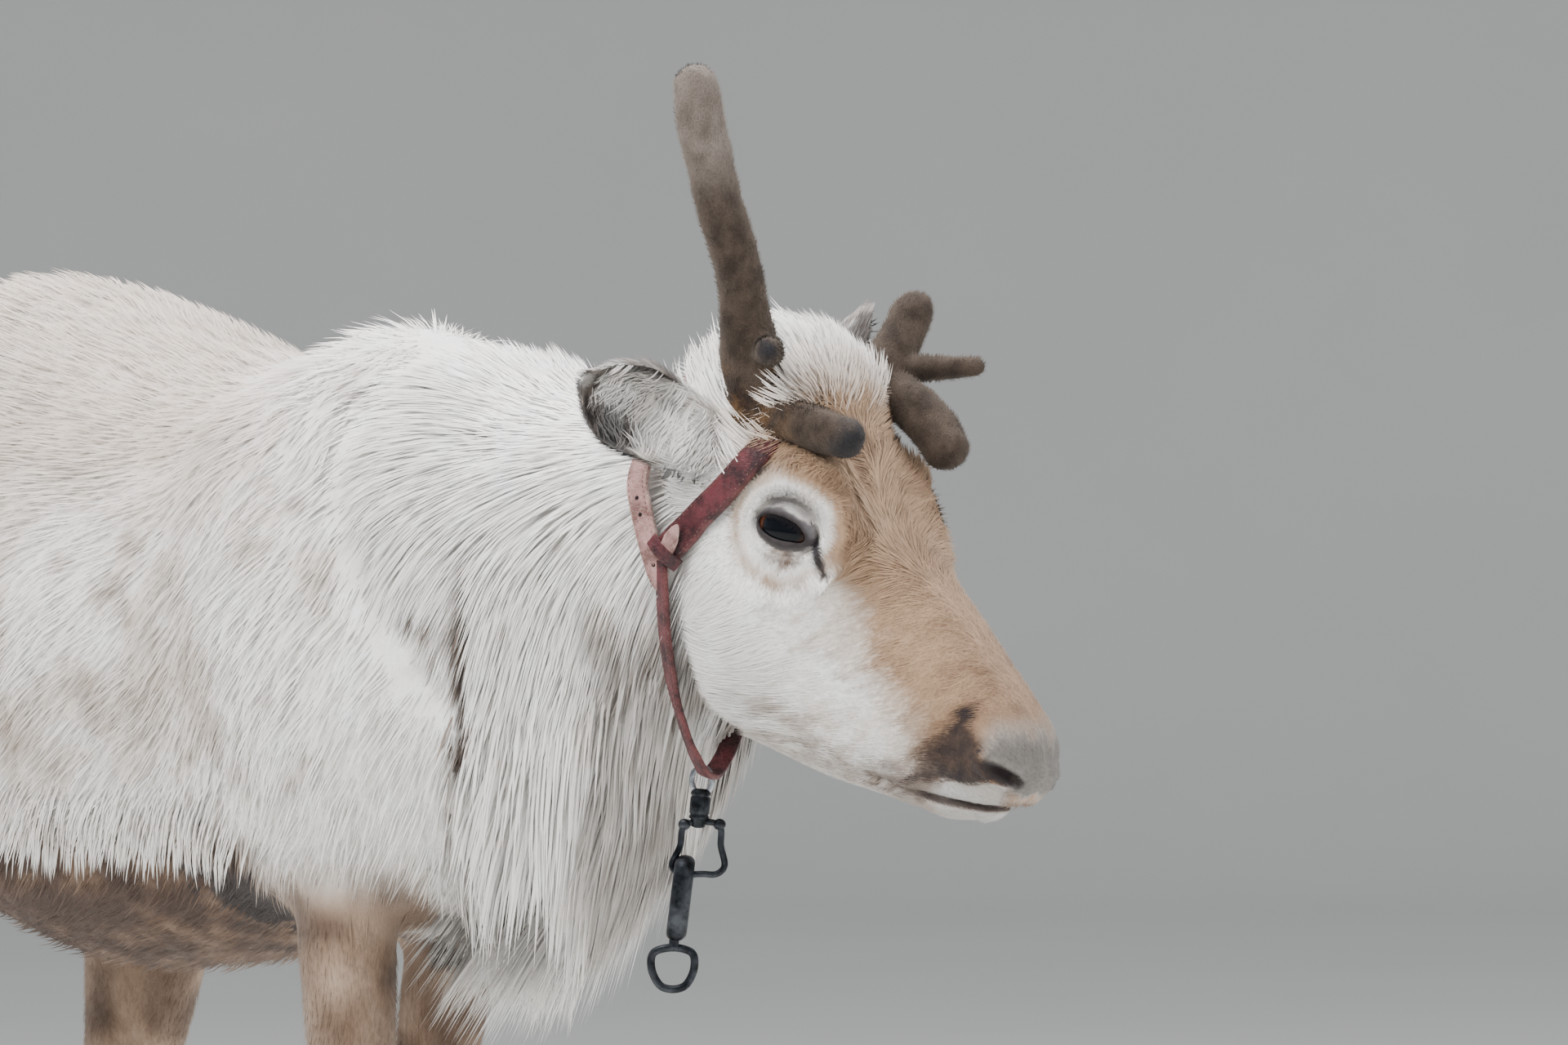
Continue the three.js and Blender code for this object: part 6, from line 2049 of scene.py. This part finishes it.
def make_crown_hair(draw):
    """Longer soft hair between the antlers, behind them over the straps, and in front of each ear."""
    count = 2400
    roots, normals = scattered(body_surface(), count, on_nape, draw)
    lie = ruffled(roots, normals, headward([-0.6, 0.0, 0.3]), 0.5, 0.35, 181)
    long, wide = 44.0 * varied(draw, count, 0.6), 1.9 * varied(draw, count)
    coat("nape_hair", "face_coat", roots, normals, lie, long, wide, math.radians(40.0), body_marks(roots),
         body_unwrap(roots), draw)
    count = 4400
    roots, normals, share, around = sown(head_surface()[0], count, draw, on_crown)
    y = to_head(roots)[:, 1]
    way = np.outer(0.25 * np.sign(y) * smoothstep(10, 40, np.abs(y)), Y) + [-0.7, 0.0, 0.25]
    lie = ruffled(roots, normals, headward(way), 0.5, 0.35, 171)
    long = 34.0 * varied(draw, count, 0.55) * (1 + 0.25 * noise(roots, 18, 172))
    wide = 1.6 * varied(draw, count)
    rise = np.radians(40 + 10 * noise(roots, 16, 173))
    marks, grey = head_marks(roots)
    coat("crown_hair", "face_coat", roots, normals, lie, long, wide, rise, (0.7 * marks, grey),
         np.stack([share, around], -1), draw, sink=1.0)


def make_tail_coat(draw):
    """Longer hair that hangs from the tail, rooted a little inside its skin."""
    count = 1800
    roots, normals = sown(tail_shape(TAIL_COAT + 1.0), count, draw)[:2]
    lie = ruffled(roots, normals, np.array([-0.1, 0.0, -1.0]), 0.2, 0.2, 151)
    long = 62.0 * varied(draw, count, 0.6, 0.5)
    marks, grey = body_marks(roots)
    coat("tail_coat", "body_coat", roots, normals, lie, long, 3.6, math.radians(24.0), (0.5 * marks, grey),
         body_unwrap(roots), draw, bend=-0.12 * Z, rings=3, sink=4.0)


# Stage, lights and camera


def area_light(name, at, towards, size, power, glints):
    """A square soft light, at and towards in metres. glints says whether wet and metal surfaces mirror it."""
    light = bpy.data.lights.new(name, "AREA")
    light.energy, light.size = power, size
    obj = linked(name, light)
    obj.location = at
    obj.visible_glossy = glints
    obj.rotation_euler = (Vector(towards) - Vector(at)).to_track_quat("-Z", "Y").to_euler()


def make_stage():
    """Pale floor that turns up into a backdrop, an overcast sky of soft light, and the camera at the
    photo's angle."""
    shift = SHIFT / 1000.0
    view, right = PHOTO_AWAY, PHOTO_RIGHT
    near, far, wall, corner = -16.0, 11.0, 12.0, 3.0  # the floor's ends, the wall's height, the bend between them, in m
    bend = np.linspace(0, np.pi / 2, 24)[1:]
    ahead = np.concatenate([np.linspace(near, far, 12), far + corner * np.sin(bend), [far + corner]])
    high = np.concatenate([np.zeros(12), corner - corner * np.cos(bend), [wall]])
    across = np.array([-18.0, 18.0])
    middle = np.array([-0.25, 0.0, 0.0]) + shift
    grid = middle + view * ahead[:, None, None] + right * across[None, :, None] + Z * high[:, None, None]
    i = np.arange(len(ahead) - 1)
    quads = np.stack([2 * i, 2 * i + 1, 2 * i + 3, 2 * i + 2], axis=-1)
    mesh = mesh_of("studio_sweep", grid.reshape(-1, 3) * 1000.0 - SHIFT, [quads])
    mesh.materials.append(plain_material("Studio paper", 0.9, 900.0, "C6C5C1", "CECDC9"))
    sweep = linked("studio_sweep", mesh)
    target = np.array([0.2, 0.0, 0.85]) + shift
    area_light("Key", target - view * 2.6 - right * 2.2 + Z * 2.4, target, 2.6, 255.0, False)
    area_light("Top", target + Z * 3.4 + view * 0.3, target, 4.0, 350.0, True)
    area_light("Fill", target - view * 2.2 + right * 3.0 + Z * 0.6, target, 3.0, 110.0, False)
    area_light("Back", target + view * 2.6 - right * 2.4 + Z * 2.0, target, 2.4, 90.0, False)
    world = bpy.data.worlds.new("Overcast")
    world.use_nodes = True
    background = world.node_tree.nodes["Background"]
    background.inputs[0].default_value = [*hex_linear("E9EEF4"), 1.0]
    background.inputs[1].default_value = 0.75
    bpy.context.scene.world = world
    camera = bpy.data.cameras.new("Camera")
    camera.lens, camera.sensor_width = 168.75, 36.0
    camera.clip_end = 60.0
    seen = linked("Camera", camera)
    seen.location = (np.array([4544.96, -2784.70, 868.42]) + SHIFT) / 1000.0
    seen.rotation_euler = Vector(view).to_track_quat("-Z", "Y").to_euler()
    bpy.context.scene.camera = seen


# Settings, operators and panel


def colour_property(label, told, code):
    """A colour setting whose default is a hex colour."""
    return bpy.props.FloatVectorProperty(
        name=label, description=told, subtype="COLOR", size=3, min=0.0, max=1.0, default=hex_linear(code)
    )


def length_property(label, told, millimetres):
    """A length setting in millimetres."""
    return bpy.props.FloatProperty(name=label, description=told, default=millimetres, min=1.0, max=300.0)


class CoatSettings(bpy.types.PropertyGroup):
    """Colours and lengths of the coat."""

    white: colour_property("White", "Neck, shoulders, flank and cheeks", "F7F6F4")
    cream: colour_property("Cream", "Slow drift of warmer tone in the white", "EFE8E0")
    tan: colour_property("Tan", "Forehead, bridge and back", "A2856B")
    brown: colour_property("Brown", "Belly, legs and streaks", "6B5240")
    dark: colour_property("Dark", "Nostrils, mouth and folds", "2A2425")
    grey: colour_property("Grey", "Tip of the muzzle", "4A4743")
    trunk_length: length_property("Trunk hair", "Length of hair on the trunk, mm", 42.0)
    neck_length: length_property("Neck hair", "Length of hair on the neck, mm", 58.0)
    face_length: length_property("Face hair", "Length of hair on the face, mm", 10.0)
    leg_length: length_property("Leg hair", "Length of hair on the legs, mm", 16.0)
    beard_length: length_property("Throat hair", "Longest hair under the throat, mm", 140.0)


class TrimSettings(bpy.types.PropertyGroup):
    """Colours of the headstall."""

    leather: colour_property("Leather", "Crown and throat straps", "57242A")
    faded_leather: colour_property("Faded leather", "The strap behind the ears", "A8807C")


def drawn(seed):
    """A seeded source of random numbers."""
    return np.random.default_rng(seed)


def hair_of(kind):
    """The two hair materials, made once: skin for hair drawn close on a surface, tuft for hair that stands
    from it."""
    if kind not in built:
        label = "Short coat close on the skin" if kind == "skin" else "Hollow deer hair"
        built[kind] = hair_material(label, bpy.context.scene.reindeer_coat, kind == "skin")
    return built[kind]


class REINDEER_OT_stage(bpy.types.Operator):
    """Floor, backdrop, lights and camera"""

    bl_idname = "reindeer.stage"
    bl_label = "Stage"

    def execute(self, context):
        make_stage()
        return {"FINISHED"}


class REINDEER_OT_skin(bpy.types.Operator):
    """One skin over the body and head"""

    bl_idname = "reindeer.skin"
    bl_label = "Skin"

    def execute(self, context):
        make_skin()
        return {"FINISHED"}


class REINDEER_OT_eyes(bpy.types.Operator):
    """Eyes with their lids"""

    bl_idname = "reindeer.eyes"
    bl_label = "Eyes and lids"

    def execute(self, context):
        make_eyes()
        make_lids(drawn(19))
        return {"FINISHED"}


class REINDEER_OT_ears(bpy.types.Operator):
    """Ears with their fur"""

    bl_idname = "reindeer.ears"
    bl_label = "Ears"

    def execute(self, context):
        make_ears(drawn(11))
        return {"FINISHED"}


class REINDEER_OT_antlers(bpy.types.Operator):
    """Antlers in velvet"""

    bl_idname = "reindeer.antlers"
    bl_label = "Antlers"

    def execute(self, context):
        make_antlers(drawn(12))
        return {"FINISHED"}


class REINDEER_OT_hooves(bpy.types.Operator):
    """Hooves and dewclaws"""

    bl_idname = "reindeer.hooves"
    bl_label = "Hooves"

    def execute(self, context):
        make_hooves()
        return {"FINISHED"}


class REINDEER_OT_headstall(bpy.types.Operator):
    """Leather headstall"""

    bl_idname = "reindeer.headstall"
    bl_label = "Headstall"

    def execute(self, context):
        make_headstall(context.scene.reindeer_trim)
        return {"FINISHED"}


class REINDEER_OT_fittings(bpy.types.Operator):
    """Steel ring, swivel, link, snap and eye"""

    bl_idname = "reindeer.fittings"
    bl_label = "Steel fittings"

    def execute(self, context):
        make_fittings()
        return {"FINISHED"}


class REINDEER_OT_body_coat(bpy.types.Operator):
    """Hair of trunk, neck, legs, throat and tail"""

    bl_idname = "reindeer.body_coat"
    bl_label = "Body coat"

    def execute(self, context):
        settings = context.scene.reindeer_coat
        make_body_coat(settings, drawn(13))
        make_fringe(drawn(17))
        make_beard(settings, drawn(14))
        make_tail_coat(drawn(15))
        return {"FINISHED"}


class REINDEER_OT_head_coat(bpy.types.Operator):
    """Hair of head and jaw"""

    bl_idname = "reindeer.head_coat"
    bl_label = "Head coat"

    def execute(self, context):
        make_head_coat(context.scene.reindeer_coat, drawn(16))
        make_crown_hair(drawn(18))
        return {"FINISHED"}


OPERATORS = (
    REINDEER_OT_stage,
    REINDEER_OT_skin,
    REINDEER_OT_eyes,
    REINDEER_OT_ears,
    REINDEER_OT_antlers,
    REINDEER_OT_hooves,
    REINDEER_OT_headstall,
    REINDEER_OT_fittings,
    REINDEER_OT_body_coat,
    REINDEER_OT_head_coat,
)


class REINDEER_PT_panel(bpy.types.Panel):
    """Lists the settings and the steps in their order"""

    bl_label = "Reindeer"
    bl_idname = "REINDEER_PT_panel"
    bl_space_type = "VIEW_3D"
    bl_region_type = "UI"
    bl_category = "Reindeer"

    def draw(self, context):
        for group in (context.scene.reindeer_coat, context.scene.reindeer_trim):
            for name in group.bl_rna.properties.keys():
                if name not in ("rna_type", "name"):
                    self.layout.prop(group, name)
        for operator in OPERATORS:
            self.layout.operator(operator.bl_idname)


CLASSES = (CoatSettings, TrimSettings, *OPERATORS, REINDEER_PT_panel)


def register():
    """Adds the settings, operators and panel."""
    for one in CLASSES:
        bpy.utils.register_class(one)
    bpy.types.Scene.reindeer_coat = bpy.props.PointerProperty(type=CoatSettings)
    bpy.types.Scene.reindeer_trim = bpy.props.PointerProperty(type=TrimSettings)


def unregister():
    """Takes them away again."""
    del bpy.types.Scene.reindeer_trim
    del bpy.types.Scene.reindeer_coat
    for one in reversed(CLASSES):
        bpy.utils.unregister_class(one)


def main():
    """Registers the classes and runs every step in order."""
    register()
    for operator in OPERATORS:
        getattr(bpy.ops.reindeer, operator.bl_idname.split(".")[1])()
    bpy.context.view_layer.update()


if __name__ == "__main__":
    main()
